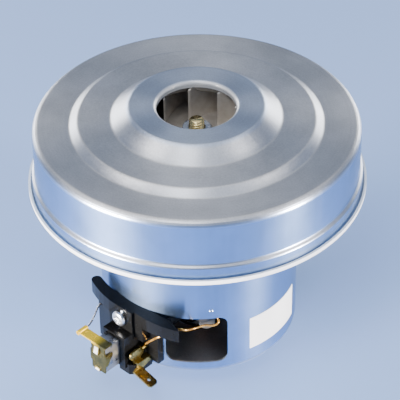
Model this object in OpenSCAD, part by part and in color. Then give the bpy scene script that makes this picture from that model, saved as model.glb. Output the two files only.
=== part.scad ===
// Vacuum cleaner motor: a single-stage centrifugal fan on a brushed two-pole motor.
// The motor stands on its rear bearing cup, with the fan on top.
// +Z points to the air inlet, and the two brush brackets lie along the Y axis.

/* [Motor can] */
// Outer diameter of the drawn steel can
can_d = 81.2; // [80.6:0.2:83]
// Depth of the can, from the flange's underside to its floor
can_depth = 69.8; // [69:0.2:74]
// Thickness of the can's sheet steel
can_sheet = 0.9; // [0.7:0.05:1]
// Outer radius of the can's bottom edge
can_edge_r = 3.5; // [2.5:0.1:3.6]
// Diameter across the flange's upturned rim
rim_d = 135.6; // [135:0.2:140]
// Height of the upturned rim, from the flange's underside
rim_h = 2.4; // [1.8:0.1:3.2]
// Depth of the rear bearing cup below the can's floor
cup_depth = 9.5; // [9.2:0.1:11]

/* [Exhaust windows] */
// Width of each exhaust window, along its chord
window_w = 25.1; // [20:0.1:25.5]
// Height of each exhaust window
window_h = 23.4; // [20:0.1:24]
// Corner radius of an exhaust window
window_corner_r = 3.8; // [2.5:0.1:5]
// Angle from the bracket's centre to the window's centre
window_angle = 41.8; // [41:0.2:46]
// Height of the window's lower edge above the can's floor
window_rise = 6.2; // [5.5:0.1:7]

/* [Fan cover] */
// Height from the rim's lower edge to the cover's top face
cover_h = 35.7; // [35:0.1:40]
// Thickness of the cover's sheet steel
cover_sheet = 0.8; // [0.6:0.05:0.9]
// Diameter of the air inlet
inlet_d = 31.6; // [28:0.2:31.8]
// Radius of the inlet's rolled lip
inlet_lip_r = 1.5; // [1.2:0.1:1.6]
// Depth of the inlet's rolled lip
inlet_lip_h = 2.7; // [2.4:0.1:2.9]
// Diameter of the raised plateau round the inlet
plateau_d = 53.4; // [50:0.2:56]
// Diameter at the foot of the plateau's slope
plateau_foot_d = 67.8; // [64:0.2:72]
// Depth of the middle ring below the plateau
middle_drop = 5.4; // [4.8:0.1:5.6]
// Diameter of the middle ring
middle_d = 93.8; // [90:0.2:96]
// Diameter at the foot of the middle ring's slope
middle_foot_d = 100.4; // [98:0.2:104]
// Depth of the outer ring below the middle ring
outer_drop = 2.5; // [2.2:0.1:3.2]
// Radius of the cover's shoulder
shoulder_r = 2.6; // [2:0.1:3.2]
// Gap between the cover's lower band and the rim
rim_gap = 0.7; // [0.5:0.05:1]
// Height of the cover's lower band above the rim's lower edge
band_h = 8; // [6:0.1:10]
// How far the lower band stands out from the skirt
band_step = 1.2; // [1:0.1:1.6]

/* [Impeller] */
// Radial gap between the impeller and the cover's skirt
impeller_tip_gap = 5.2; // [4.8:0.1:8]
// Number of impeller blades
blade_count = 8; // [7:1:9]
// Thickness of an impeller blade
blade_t = 0.9; // [0.7:0.05:1.1]
// Height of the blades at the impeller's outer edge
blade_exit_h = 5; // [4.4:0.1:5.2]
// Radius where the blades begin
blade_start_r = 15.4; // [14:0.1:15.6]
// Angle that a blade leans back from the tangent
blade_lean = 40; // [36:1:46]
// Thickness of the impeller's sheet aluminium
impeller_sheet = 0.8; // [0.7:0.05:0.9]
// Radial gap between the impeller's eye and the inlet lip
eye_gap = 0.7; // [0.6:0.05:1]
// Diameter of the impeller's clamping hub
hub_d = 17; // [15:0.2:19]
// Thickness of the impeller's clamping hub
hub_t = 2; // [1.6:0.1:2.4]
// Running gap between the diffuser and the impeller
impeller_gap = 1.8; // [1.4:0.1:2]

/* [Shaft and bearings] */
// Diameter of the shaft
shaft_d = 8; // [7:0.1:8]
// Diameter of the shaft's threaded end
stud_d = 6; // [5:0.1:6]
// Length of thread that stands out of the nut
stud_proud = 3.7; // [2.5:0.1:4]
// Width of the impeller nut across its flats
nut_w = 11.4; // [10:0.1:12]
// Height of the impeller nut
nut_h = 5.5; // [5:0.1:5.8]
// Outer diameter of the ball bearings
bearing_d = 22; // [21:0.1:22.6]
// Width of the ball bearings
bearing_w = 7; // [6.6:0.1:7.2]
// Diameter of the bearing balls
ball_d = 3.9; // [3.6:0.05:4]
// Number of balls in a bearing
ball_count = 7; // [6:1:8]
// Running clearance between a ball and its track
ball_gap = 0.05; // [0.03:0.01:0.08]
// Thickness of the preload washer
washer_t = 0.6; // [0.4:0.05:0.7]

/* [Bearing bridge and diffuser] */
// Thickness of the bearing bridge's sheet steel
bridge_sheet = 1; // [0.8:0.05:1.1]
// Width of a bearing bridge arm
bridge_arm_w = 11; // [10:0.2:13]
// Diameter of the circle of bridge screws
bridge_pcd = 87; // [86.5:0.1:88]
// Diameter of the bridge screws
bridge_screw_d = 4; // [3.5:0.1:4.4]
// Radial gap between the diffuser plate and the cover's skirt
diffuser_rim_gap = 3.7; // [3.2:0.1:5]
// Thickness of the diffuser plate
diffuser_t = 1.4; // [1.2:0.1:1.6]
// Number of diffuser vanes
vane_count = 15; // [11:2:17]
// Thickness of a diffuser vane
vane_t = 1.4; // [1.2:0.1:1.6]
// Height of the diffuser plate's underside above the flange
diffuser_h = 11.8; // [11.4:0.1:12.4]

/* [Field] */
// Height from the flange down to the top of the field stack
stack_drop = 7.2; // [7:0.1:9]
// Diameter of the field's bore
bore_d = 42.6; // [42:0.1:43.4]
// Thickness of the field's pole shoes
shoe_t = 4.2; // [3.8:0.1:4.4]
// Half of the angle that a pole shoe spans
shoe_half_angle = 60; // [56:1:62]
// Thickness of the field's outer yoke
yoke_t = 8.2; // [7.6:0.1:8.4]
// Width of a pole's neck
neck_w = 24; // [20:0.5:25]
// Width across the flats that let air past the field
core_flat_w = 76; // [74:0.5:78]
// Gap between a coil and the iron round it
coil_gap = 0.4; // [0.3:0.05:0.5]
// How far a coil's end turns stand out of the stack
end_turn_h = 5; // [4:0.1:5.2]
// Thickness of the coil frames
frame_t = 1.2; // [0.9:0.1:1.4]
// Length of the coil frame's wire hooks
hook_len = 11; // [9:0.1:11.5]
// Width of a wire hook
hook_w = 6.4; // [5:0.1:7]

/* [Armature] */
// Air gap between the armature and the field
air_gap = 0.4; // [0.35:0.05:0.6]
// Number of armature slots and commutator bars
slot_count = 22; // [20:2:24]
// Diameter of the round bottom of an armature slot
slot_d = 3.2; // [2.8:0.1:3.3]
// Width of an armature slot's mouth
slot_mouth = 1.4; // [1:0.1:1.8]
// Height of the armature's end turns
winding_h = 5.6; // [4.6:0.1:5.8]
// Diameter of the commutator
commutator_d = 22; // [21:0.1:23]
// Length of the commutator's running face
commutator_len = 16; // [15.4:0.1:16.6]
// Radial depth of the commutator bars
bar_depth = 2.6; // [2:0.1:3]
// Gap between the commutator and the armature's end turns
winding_gap = 4.9; // [4.4:0.1:6]
// Width of the cut between two commutator bars
bar_cut = 0.6; // [0.5:0.05:0.8]

/* [Brushes] */
// Height of the brushes' centre line above the can's floor
brush_rise = 11.9; // [11.8:0.1:12.4]
// Width of a carbon brush
brush_w = 6.3; // [5.8:0.1:6.6]
// Height of a carbon brush
brush_h = 11.2; // [10.6:0.1:11.4]
// Length of a carbon brush
brush_len = 28; // [24:0.5:30]
// Clearance between a carbon brush and its tube
brush_fit = 0.1; // [0.05:0.01:0.12]
// Gap between a carbon brush and the commutator
brush_gap = 0.3; // [0.3:0.05:0.4]
// Thickness of the brush tube's sheet
tube_t = 0.5; // [0.4:0.05:0.6]
// Distance from the motor's axis to the outer end of a brush tube
tube_reach = 58.8; // [57:0.1:60]
// Distance from the motor's axis to the inner end of a brush tube
tube_start = 14.6; // [14.2:0.1:16]
// Diameter of the brush spring's coil
spring_d = 5; // [4.4:0.1:5.4]
// Diameter of the brush spring's wire
spring_wire_d = 0.6; // [0.5:0.05:0.7]
// Number of turns in a brush spring
spring_turns = 8; // [7:1:9]
// Thickness of the brush cap's sheet brass
cap_t = 0.6; // [0.5:0.05:0.7]
// Width of the brush cap's plate
cap_w = 7.4; // [7:0.1:7.8]
// Width of the cap's strap
strap_w = 4.2; // [3.4:0.1:4.4]
// Length of the cap's strap beyond the centre line
strap_len = 10.2; // [9:0.1:11]

/* [Brush bracket] */
// Height of the bracket's top face above the brush's centre line
bracket_rise = 18.4; // [18:0.1:18.8]
// Depth of the bracket's main body below the brush's centre line
bracket_drop = 8; // [7.8:0.1:8.3]
// Height of the bracket's collar
collar_h = 6; // [5:0.1:6.6]
// Thickness of the collar where it follows the can
collar_t = 5.5; // [4.8:0.1:5.8]
// Angle from the bracket's centre to the tip of the front collar's left wing
wing_angle = 25.6; // [22:0.2:26]
// Angle from the bracket's centre to the tip of the rear collar's left wing
rear_wing_angle = 15; // [13:0.2:16]
// Thickness of the wing at its tip
wing_tip_t = 4.4; // [4:0.1:5]
// Gap between the can and the wing's tip
wing_stand_off = 1.8; // [0.5:0.1:2]
// Distance from the can's surface to the face of the screw panel
panel_proud = 5.4; // [5.2:0.1:5.8]
// Width of the screw panel
panel_w = 12.8; // [12.6:0.1:13.4]
// Step from the screw panel back to the right-hand panel
panel_step = 1.4; // [1:0.1:1.6]
// Sideways reach of the bracket's right arm
arm_reach = 27.6; // [26.6:0.1:28]
// Wall thickness of the sleeve round the brush tube
sleeve_wall = 1.5; // [1.4:0.1:1.8]
// Thickness of the sleeve's right wall, on the terminal's side
sleeve_side_wall = 2.7; // [2.2:0.1:2.8]
// How far the brush tube stands out of the sleeve
tube_proud = 8; // [7.4:0.1:8.6]
// Diameter of the bracket screw
bracket_screw_d = 3.5; // [3:0.1:3.8]
// Diameter of the bracket screw's head
bracket_head_d = 6.7; // [6.2:0.1:7.2]
// Height of the bracket screw's head
bracket_head_h = 2.2; // [1.8:0.1:2.6]
// Wall thickness of the terminal pocket
pocket_wall = 1.2; // [1:0.1:1.4]
// Width of the terminal pocket inside
pocket_w = 5.6; // [5.2:0.1:5.8]
// Distance from the can's surface to the pocket's outer face
pocket_proud = 9.5; // [9.2:0.1:10]

/* [Terminals and leads] */
// Width of the push-on terminal blade
blade_w = 4.8; // [4.6:0.1:5]
// Thickness of the terminal's brass
terminal_t = 0.8; // [0.7:0.05:0.9]
// Length of the push-on blade
terminal_len = 10; // [9:0.1:10.6]
// Downward slope of the push-on blade
terminal_slope = 15; // [10:1:18]
// Diameter of the field's copper lead
field_lead_d = 0.9; // [0.8:0.05:1]
// Diameter of the tinned brush lead
brush_lead_d = 0.8; // [0.7:0.05:1]

/* [Label] */
// Width of the bare label, along the can
label_w = 28.4; // [20:0.2:32]
// Height of the bare label
label_h = 16; // [10:0.2:18]
// Thickness of the label
label_t = 0.15; // [0.1:0.01:0.2]
// Distance from the flange's underside to the label's lower edge
label_drop = 61; // [58:0.2:62]
// Angle from the bracket's centre to the label's centre
label_angle = 93.8; // [90:0.2:96]

/* [Hidden] */

// Smoothness of round faces, and of the small ones
$fn = 96;
fine = 48;
small = 24;
// How far a cutting tool runs past the face that it cuts
past = 1;
// Side walls of the bracket, ends of the springs and other small spaces
seat = 0.1;

// Levels, from the underside of the rear bearing cup upwards
floor_z = cup_depth;
flange_z = cup_depth + can_depth;
flange_top_z = flange_z + can_sheet;
cover_top_z = flange_z + cover_h;
brush_z = floor_z + brush_rise;

// Radii of the can
can_r = can_d / 2;
can_inner_r = can_r - can_sheet;
bearing_r = bearing_d / 2;
bearing_bore_r = shaft_d / 2;
cup_r = bearing_r + can_sheet;
rim_r = rim_d / 2;
cup_edge_r = 2;
cup_root_r = 1.2;
flange_root_r = 2;
rim_edge_r = 1;

// Punch marks that pin the field stack in the can
dimple_angle = 50.3;
dimple_rise = 1.3;
dimple_r = 1.2;
dimple_depth = 0.4;

// Fan cover
band_r = rim_r - can_sheet - rim_gap;
skirt_r = band_r - band_step;
middle_z = cover_top_z - middle_drop;
outer_z = middle_z - outer_drop;
lip_bottom_z = cover_top_z - inlet_lip_h;
fold_r = 2;
step_r = cover_sheet + 0.2;
step_drop = band_step * 0.8;

// Bearings and shaft
rear_bearing_z = can_sheet + washer_t;
bridge_z = flange_top_z;
bridge_top_z = bridge_z + bridge_sheet;
bearing_foot = 0.8;
front_bearing_z = bridge_top_z + bearing_foot;
front_bearing_top_z = front_bearing_z + bearing_w;
bridge_crown_z = front_bearing_top_z + bridge_sheet;
ball_pitch_r = (bearing_r + bearing_bore_r) / 2;
race_t = (bearing_r - bearing_bore_r) * 0.3;
inner_race_r = bearing_bore_r + race_t;
outer_race_r = bearing_r - race_t;
race_chamfer = 0.5;
washer_r = bearing_r - 1.2;
washer_hole_r = outer_race_r - 0.6;
shield_t = 0.4;
shield_inset = 0.3;
shield_gap = 0.35;
shaft_end_gap = 0.7;
shaft_z = can_sheet + shaft_end_gap;
shaft_chamfer = 0.6;

// Diffuser and impeller
diffuser_plate_z = flange_top_z + diffuser_h;
diffuser_top_z = diffuser_plate_z + diffuser_t;
back_plate_z = diffuser_top_z + impeller_gap;
blade_z = back_plate_z + impeller_sheet;
hub_top_z = blade_z + hub_t;
nut_top_z = hub_top_z + nut_h;
stud_top_z = nut_top_z + stud_proud;
skirt_in_r = skirt_r - cover_sheet;
impeller_r = skirt_in_r - impeller_tip_gap;
eye_r = inlet_d / 2 + cover_sheet + eye_gap;
eye_top_z = lip_bottom_z + 0.5;
shroud_r = eye_r + impeller_sheet;
shroud_w = impeller_r - shroud_r;
shroud_top_z = blade_z + blade_exit_h;
blade_phase = 9.5;
blade_steps = 10;
spacer_r = bearing_bore_r + race_t;
bridge_hole_r = spacer_r + 1;
bridge_slot_in_r = cup_r + 3;
bridge_slot_out_r = can_inner_r - 2.2;
bridge_r = bridge_pcd / 2 + 4;
bridge_head_r = bridge_screw_d * 0.88;
bridge_head_h = bridge_screw_d * 0.55;
bridge_screw_bite = 2;
diffuser_r = skirt_in_r - diffuser_rim_gap;
diffuser_collar_r = bearing_r + bridge_sheet + 0.3;
diffuser_collar_z = front_bearing_z + bearing_w * 0.4;
vane_start_r = bridge_r + 1.6;
vane_sweep = 26;
vane_steps = 6;
diffuser_hole_r = bridge_hole_r + 2;

// Field and armature
commutator_z = brush_z - commutator_len / 2;
riser_h = 2.2;
commutator_top_z = commutator_z + commutator_len + riser_h;
stack_top_z = flange_z - stack_drop;
stack_z = commutator_top_z + winding_gap + winding_h;
stack_len = stack_top_z - stack_z;
bore_r = bore_d / 2;
shoe_r = bore_r + shoe_t;
yoke_in_r = can_inner_r - yoke_t;
coil_in_r = shoe_r + coil_gap;
coil_out_r = yoke_in_r - coil_gap;
coil_half_angle = shoe_half_angle - 2;
coil_corner_r = 1.6;
frame_wall_t = 1.4;
frame_rim = 5;
frame_inset = 0.6;
inner_wall_half_angle = coil_half_angle - 12;
outer_wall_half_angle = 24;
hook_r = yoke_in_r + 4.4;
hook_t = 2.4;
hook_angle = 48.5;
armature_r = bore_r - air_gap;
tooth_tip_t = 2;
slot_r = armature_r - slot_d / 2 - tooth_tip_t;
wire_slot_gap = 0.1;
winding_out_r = slot_r + slot_d / 2;
winding_in_r = bearing_bore_r + 2.6;
commutator_r = commutator_d / 2;
riser_r = commutator_r + 1.2;
bar_in_r = commutator_r - bar_depth;

// Brushes, in a frame where x runs sideways and y points at the motor's axis
brush_tip_r = commutator_r + brush_gap;
brush_end_r = brush_tip_r + brush_len;
tube_in_w = brush_w + 2 * brush_fit;
tube_in_h = brush_h + 2 * brush_fit;
tube_w = tube_in_w + 2 * tube_t;
tube_h = tube_in_h + 2 * tube_t;
spring_side_count = 6;
shunt_steps = 12;
shunt_wave = 0.5;
shunt_r = 0.6;
spring_steps = 8;
cap_h = tube_h + 1;
cap_ear = 0.6;
cap_ear_h = 5.4;
cap_flange_depth = 3.4;
strap_gap = 0.3;
strap_z = brush_z + tube_h / 2 + strap_gap;
strap_right = 4.2;
tab_left = -2.2;
tab_w = 3.2;
tab_h = 4;
tab_proud = 0.9;
foot_tab_h = 1.2;
barrel_r = 1;
barrel_x = -strap_len - barrel_r * 0.8;
barrel_over = 0.4;

// Brush bracket
bracket_top_z = brush_z + bracket_rise;
bracket_base_z = brush_z - bracket_drop;
bracket_h = bracket_rise + bracket_drop;
collar_z = bracket_top_z - collar_h;
panel_y = can_r + panel_proud;
panel_depth = panel_proud + 3;
right_panel_y = panel_y - panel_step;
right_panel_end = 13.4;
right_panel_low_end = 10.8;
right_panel_z = brush_z + 5;
collar_r = can_r + collar_t;
arm_elbow_x = arm_reach * 0.75;
arm_elbow_t = 2.8;
arm_tip_w = 2;
arm_tip_t = 1.1;
arm_root_x = arm_reach * 0.56;
arm_root_t = 1.4;
arm_belly = 2.1;
sleeve_reach = tube_reach - tube_proud;
recess_y = can_r + 0.1;
base_end = 15.5;
base_right_z = bracket_base_z + 1.5;
base_left_angle = 21.5;
base_left_r = collar_r - 0.6;
base_back_r = can_r - 2;
slot_w = tube_w + 2 * seat;
slot_h = tube_h + 2 * seat;
sleeve_left = slot_w / 2 + sleeve_wall;
sleeve_right = slot_w / 2 + sleeve_side_wall;
sleeve_h = slot_h + 2 * sleeve_wall;
sleeve_start_r = 33;
screw_z = bracket_top_z - 5.6;
screw_hole_d = bracket_screw_d + 0.4;
screw_bite = 6;
pocket_left = 2.4;
pocket_right = pocket_left + pocket_w + 2 * pocket_wall;
pocket_front_y = can_r + pocket_proud;
pocket_back_y = can_r - 1.6;
pocket_floor_z = bracket_base_z - 2.6;
pocket_front_z = bracket_base_z + 2.4;
pocket_side_z = bracket_base_z + 2.9;
pocket_chamfer = 2.4;
cutout_gap = 0.7;
cutout_corner_r = 1.5;

// Terminal
inner_leg_x = pocket_right - pocket_wall - terminal_t;
leg_low_z = bracket_base_z - 0.1;
leg_back_y = recess_y + seat;
leg_front_y = pocket_front_y - 2.1;
blade_mid_y = leg_front_y;
blade_hole_d = 1.4;
blade_hole_place = 0.68;
blade_chamfer = 1;
plate_mid_y = leg_front_y - 1.6;
plate_z = brush_z - 1.2;
plate_half_len = 3.8;
plate_half_h = 2.2;
crimp_z = brush_z + 0.1;
crimp_r = 1.15;
crimp_front_y = leg_back_y + 3;

// The field lead's route: right of the bracket's centre line, out from the can's surface, above the brushes
field_route = [
    [8.8, -3, 0.1], [8.8, -1, 0.5], [10, -0.7, 2], [11.6, -0.6, 3.8], [13.6, -0.6, 6],
    [15.2, -1, 7.8], [16.8, -1.2, 9.4], [18.4, -0.2, 10.6], [20, 1.6, 11.6], [21.5, 3.2, 13],
    [24, 3.4, 15], [26.4, 3.4, 16.2], [27.2, 5.2, 15.4], [26.2, 9.2, 12.8], [27.5, 12.8, 12.7],
    [28.6, 14.8, 12.5], [29.6, 16, 12.2], [30.8, 17.4, 12.3], [31.4, 18.6, 13.2], [30.6, 19.4, 14.5],
    [29.4, 19.2, 15.4], [28.2, 17.9, 15.8], [27, 16.4, 15.9]
];
// The brush lead's route, from the barrel at the strap's end to the bracket's left face: the second
// number is the share of the way out from the can's surface to the tube's end
brush_route = [
    [-11, 0.813, 6.8], [-11.3, 0.747, 6.4], [-12.2, 0.626, 5.8], [-13.2, 0.495, 5.8], [-14.2, 0.363, 6.4],
    [-15, 0.253, 7.4], [-15.4, 0.176, 8.3], [-15.5, 0.11, 8.9]
];

// Unit vector, list turned round, and the normal to the left of a line
function unit(v) = v / norm(v);
function reversed(list) = [for (i = [len(list) - 1:-1:0]) list[i]];
function left_of(a, b) = let (d = unit(b - a)) [-d[1], d[0]];

// Points on the arc that rounds the corner at b with radius r
function corner(a, b, c, r, n = 6) =
    let (
        u = unit(a - b),
        w = unit(c - b),
        half = acos(u * w) / 2,
        centre = b + unit(u + w) * r / sin(half),
        from = b + u * r / tan(half) - centre,
        to = b + w * r / tan(half) - centre
    )
    [for (i = [0:n]) centre + r * unit(from * (1 - i / n) + to * i / n)];

// A path of [r, z] points with each inner corner rounded
function rounded(path, radii) = [
    path[0],
    for (i = [1:len(path) - 2]) each corner(path[i - 1], path[i], path[i + 1], radii[i - 1]),
    path[len(path) - 1]
];

// The path moved sideways by the sheet's thickness, to the left where t is positive
function inset(path, t) = [
    for (i = [0:len(path) - 1])
        let (
            last = len(path) - 1,
            before = left_of(path[max(i - 1, 0)], path[max(i, 1)]),
            after = left_of(path[min(i, last - 1)], path[min(i + 1, last)]),
            mitre = unit(before + after)
        )
        path[i] + mitre * t / (mitre * before)
];

function polar(r, a) = [r * cos(a), r * sin(a)];

// A drawn or spun sheet part, from the path of one of its faces
module spun_sheet(path, t) {
    rotate_extrude() polygon(concat(path, reversed(inset(path, t))));
}

module tube(outer_r, inner_r, h) {
    difference() {
        cylinder(r = outer_r, h = h);
        translate([0, 0, -past]) cylinder(r = inner_r, h = h + 2 * past);
    }
}

module rounded_rect(w, h, r) {
    square([w - 2 * r, h], center = true);
    square([w, h - 2 * r], center = true);
    for (x = [-1, 1], y = [-1, 1]) translate([x * (w / 2 - r), y * (h / 2 - r)]) circle(r = r, $fn = small);
}

// A flat wedge of a ring, centred on the +X direction
module ring_sector(outer_r, inner_r, half_angle) {
    reach = outer_r * 2;
    difference() {
        intersection() {
            circle(r = outer_r);
            polygon([[0, 0], polar(reach, -half_angle), [reach * 1.2, 0], polar(reach, half_angle)]);
        }
        circle(r = inner_r);
    }
}

// Extrudes a shape outwards from the motor's axis, on the front side
module outwards(from_r, to_r) {
    rotate([90, 0, 0]) translate([0, 0, from_r]) linear_extrude(to_r - from_r) children();
}

// The front bracket's place, and the rear one opposite it
module on_side(side) {
    rotate([0, 0, 180 * side]) children();
}

// Frame of one ring of a swept wire: across and up, where aside is a direction that the wire never takes
function ring_frame(ahead, aside) =
    let (across = unit(cross(ahead, aside)))
    [across, unit(cross(across, ahead))];

// A wire of round section along a list of points
module swept_wire(route, r, sides = 8, aside = [0, 0, 1]) {
    last = len(route) - 1;
    rings = [
        for (i = [0:last])
            let (f = ring_frame(route[min(i + 1, last)] - route[max(i - 1, 0)], aside))
            for (k = [0:sides - 1]) route[i] + r * (cos(360 * k / sides) * f[0] + sin(360 * k / sides) * f[1])
    ];
    walls = [
        for (i = [0:last - 1], k = [0:sides - 1])
            let (n = (k + 1) % sides, here = i * sides, next = here + sides)
            each [[here + k, here + n, next + n], [here + k, next + n, next + k]]
    ];
    start = [for (k = [sides - 1:-1:0]) k];
    end = [for (k = [0:sides - 1]) last * sides + k];
    polyhedron(rings, concat([start], walls, [end]));
}

// Twice as many points along a route, by cutting its corners
function smoothed(route) = [
    route[0],
    for (i = [0:len(route) - 2]) each [
        route[i] * 0.75 + route[i + 1] * 0.25,
        route[i] * 0.25 + route[i + 1] * 0.75
    ],
    route[len(route) - 1]
];

module pan_screw(head_r, head_h, shank_r, shank_len) {
    crown = head_h * 0.45;
    rotate_extrude() polygon([
        [0, -shank_len], [shank_r, -shank_len], [shank_r, 0], [head_r, 0], [head_r, head_h - crown],
        [head_r * 0.86, head_h - crown * 0.4], [head_r * 0.55, head_h], [0, head_h]
    ]);
}

// The pressed cover over the impeller, from the rolled inlet lip to the lower band
module fan_cover() {
    face = rounded(
        [
            [inlet_d / 2, lip_bottom_z], [inlet_d / 2, cover_top_z], [plateau_d / 2, cover_top_z],
            [plateau_foot_d / 2, middle_z], [middle_d / 2, middle_z], [middle_foot_d / 2, outer_z],
            [skirt_r, outer_z], [skirt_r, flange_z + band_h], [band_r, flange_z + band_h - step_drop],
            [band_r, flange_top_z]
        ],
        [inlet_lip_r, fold_r, fold_r, fold_r, fold_r * 0.8, shoulder_r, step_r, step_r]
    );
    color("silver") spun_sheet(face, -cover_sheet);
}

// The drawn can with its bearing cup, flange and upturned rim
module motor_can() {
    face = rounded(
        [
            [0, 0], [cup_r, 0], [cup_r, floor_z], [can_r, floor_z], [can_r, flange_z],
            [rim_r, flange_z], [rim_r, flange_z + rim_h]
        ],
        [cup_edge_r, cup_root_r, can_edge_r, flange_root_r, rim_edge_r]
    );
    cutout_w = sleeve_left + sleeve_right + 2 * cutout_gap;
    cutout_h = sleeve_h + 2 * cutout_gap;
    color("silver") difference() {
        spun_sheet(face, can_sheet);
        for (side = [0, 1]) on_side(side) {
            rotate([0, 0, window_angle]) translate([0, 0, floor_z + window_rise + window_h / 2])
                outwards(can_r / 2, can_r + past) rounded_rect(window_w, window_h, window_corner_r);
            translate([(sleeve_right - sleeve_left) / 2, 0, brush_z]) outwards(can_r / 2, can_r + past)
                rounded_rect(cutout_w, cutout_h, cutout_corner_r);
            translate([0, 0, screw_z]) outwards(can_r / 2, can_r + past)
                circle(d = bracket_screw_d, $fn = small);
            rotate([0, 0, dimple_angle])
                translate([0, dimple_depth - can_r - dimple_r, stack_z + dimple_rise])
                    sphere(r = dimple_r, $fn = fine);
        }
        for (a = [0:90:270]) rotate([0, 0, a + 45]) translate([bridge_pcd / 2, 0, flange_z - past])
            cylinder(d = bridge_screw_d, h = can_sheet + 2 * past, $fn = small);
    }
}

// A bare label, bent to the can
module rating_label() {
    half = label_w / can_r * 90 / PI;
    color("white") translate([0, 0, flange_z - label_drop]) rotate([0, 0, label_angle - 90])
        linear_extrude(label_h) ring_sector(can_r + label_t, can_r, half);
}

// The pressed bridge that holds the front bearing, on four arms
module bearing_bridge() {
    face = rounded(
        [
            [bridge_hole_r, bridge_crown_z], [bearing_r + bridge_sheet, bridge_crown_z],
            [bearing_r + bridge_sheet, bridge_top_z], [bridge_r, bridge_top_z]
        ],
        [bridge_sheet + 0.4, 0.6]
    );
    color("silver") difference() {
        spun_sheet(face, -bridge_sheet);
        translate([0, 0, bridge_z - past]) linear_extrude(bridge_sheet + 2 * past) difference() {
            circle(r = bridge_slot_out_r);
            circle(r = bridge_slot_in_r);
            for (a = [45, 135]) rotate(a) square([3 * can_r, bridge_arm_w], center = true);
        }
        for (a = [0:90:270]) rotate([0, 0, a + 45]) translate([bridge_pcd / 2, 0, bridge_z - past])
            cylinder(d = bridge_screw_d, h = bridge_sheet + 2 * past, $fn = small);
    }
}

module bridge_screws() {
    shank = bridge_sheet + can_sheet + bridge_screw_bite;
    color("dimgray") for (a = [0:90:270]) rotate([0, 0, a + 45]) translate([bridge_pcd / 2, 0, bridge_top_z])
        pan_screw(bridge_head_r, bridge_head_h, bridge_screw_d / 2, shank);
}

// The fixed plate under the impeller, with the vanes that lead the air inwards
module diffuser() {
    color("dimgray") {
        translate([0, 0, diffuser_plate_z]) tube(diffuser_r, diffuser_hole_r, diffuser_t);
        difference() {
            translate([0, 0, flange_top_z]) linear_extrude(diffuser_h) for (i = [0:vane_count - 1])
                rotate(360 / vane_count * i) polygon(vane_outline());
            translate([0, 0, flange_top_z]) tube(diffuser_r + vane_t, diffuser_r, diffuser_h);
        }
        translate([0, 0, diffuser_collar_z])
            tube(diffuser_collar_r + diffuser_t, diffuser_collar_r, diffuser_plate_z - diffuser_collar_z);
    }
}

// A vane's outline: a line that swings round the axis as it moves outwards, with its thickness
function vane_line(side) = [
    for (i = [0:vane_steps])
        let (part = i / vane_steps, r = vane_start_r + (diffuser_r + vane_t / 2 - vane_start_r) * part)
        polar(r, vane_sweep * part + side * vane_t / r * 90 / PI)
];
function vane_outline() = concat(vane_line(-1), reversed(vane_line(1)));

// A bearing's outer ring with its ball track
module bearing_outer(z) {
    color("gainsboro") translate([0, 0, z]) difference() {
        rotate_extrude() polygon([
            [outer_race_r, 0], [bearing_r - race_chamfer, 0], [bearing_r, race_chamfer],
            [bearing_r, bearing_w - race_chamfer], [bearing_r - race_chamfer, bearing_w],
            [outer_race_r, bearing_w]
        ]);
        ball_track();
    }
}

module bearing_inner(z) {
    color("gainsboro") translate([0, 0, z]) difference() {
        tube(inner_race_r, bearing_bore_r, bearing_w);
        ball_track();
    }
}

module ball_track() {
    translate([0, 0, bearing_w / 2]) rotate_extrude() translate([ball_pitch_r, 0])
        circle(r = ball_d / 2 + ball_gap, $fn = fine);
}

module bearing_balls(z) {
    color("gainsboro") translate([0, 0, z + bearing_w / 2]) for (i = [0:ball_count - 1])
        rotate([0, 0, 360 / ball_count * i]) translate([ball_pitch_r, 0, 0]) sphere(d = ball_d, $fn = fine);
}

// The two thin plates that close a bearing
module bearing_shields(z) {
    for (level = [shield_inset, bearing_w - shield_inset - shield_t])
        color("silver") translate([0, 0, z + level])
            tube(outer_race_r, inner_race_r + shield_gap, shield_t);
}

module front_bearing_outer() bearing_outer(front_bearing_z);
module rear_bearing_outer() bearing_outer(rear_bearing_z);
module front_bearing_inner() bearing_inner(front_bearing_z);
module rear_bearing_inner() bearing_inner(rear_bearing_z);
module front_bearing_balls() bearing_balls(front_bearing_z);
module rear_bearing_balls() bearing_balls(rear_bearing_z);
module front_bearing_shields() bearing_shields(front_bearing_z);
module rear_bearing_shields() bearing_shields(rear_bearing_z);

// The spring washer under the rear bearing
module preload_washer() {
    color("slategray") translate([0, 0, can_sheet]) tube(washer_r, washer_hole_r, washer_t);
}

// Outline of the field: a yoke with two poles on the X axis
module field_shape() {
    difference() {
        intersection() {
            circle(r = can_inner_r);
            rotate(45) square(core_flat_w, center = true);
        }
        circle(r = yoke_in_r);
    }
    difference() {
        union() {
            square([2 * yoke_in_r + past, neck_w], center = true);
            for (a = [0, 180]) rotate(a) ring_sector(shoe_r, bore_r - past, shoe_half_angle);
        }
        circle(r = bore_r);
    }
}

module field_core() {
    color("slategray") translate([0, 0, stack_z]) linear_extrude(stack_len) field_shape();
}

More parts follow.
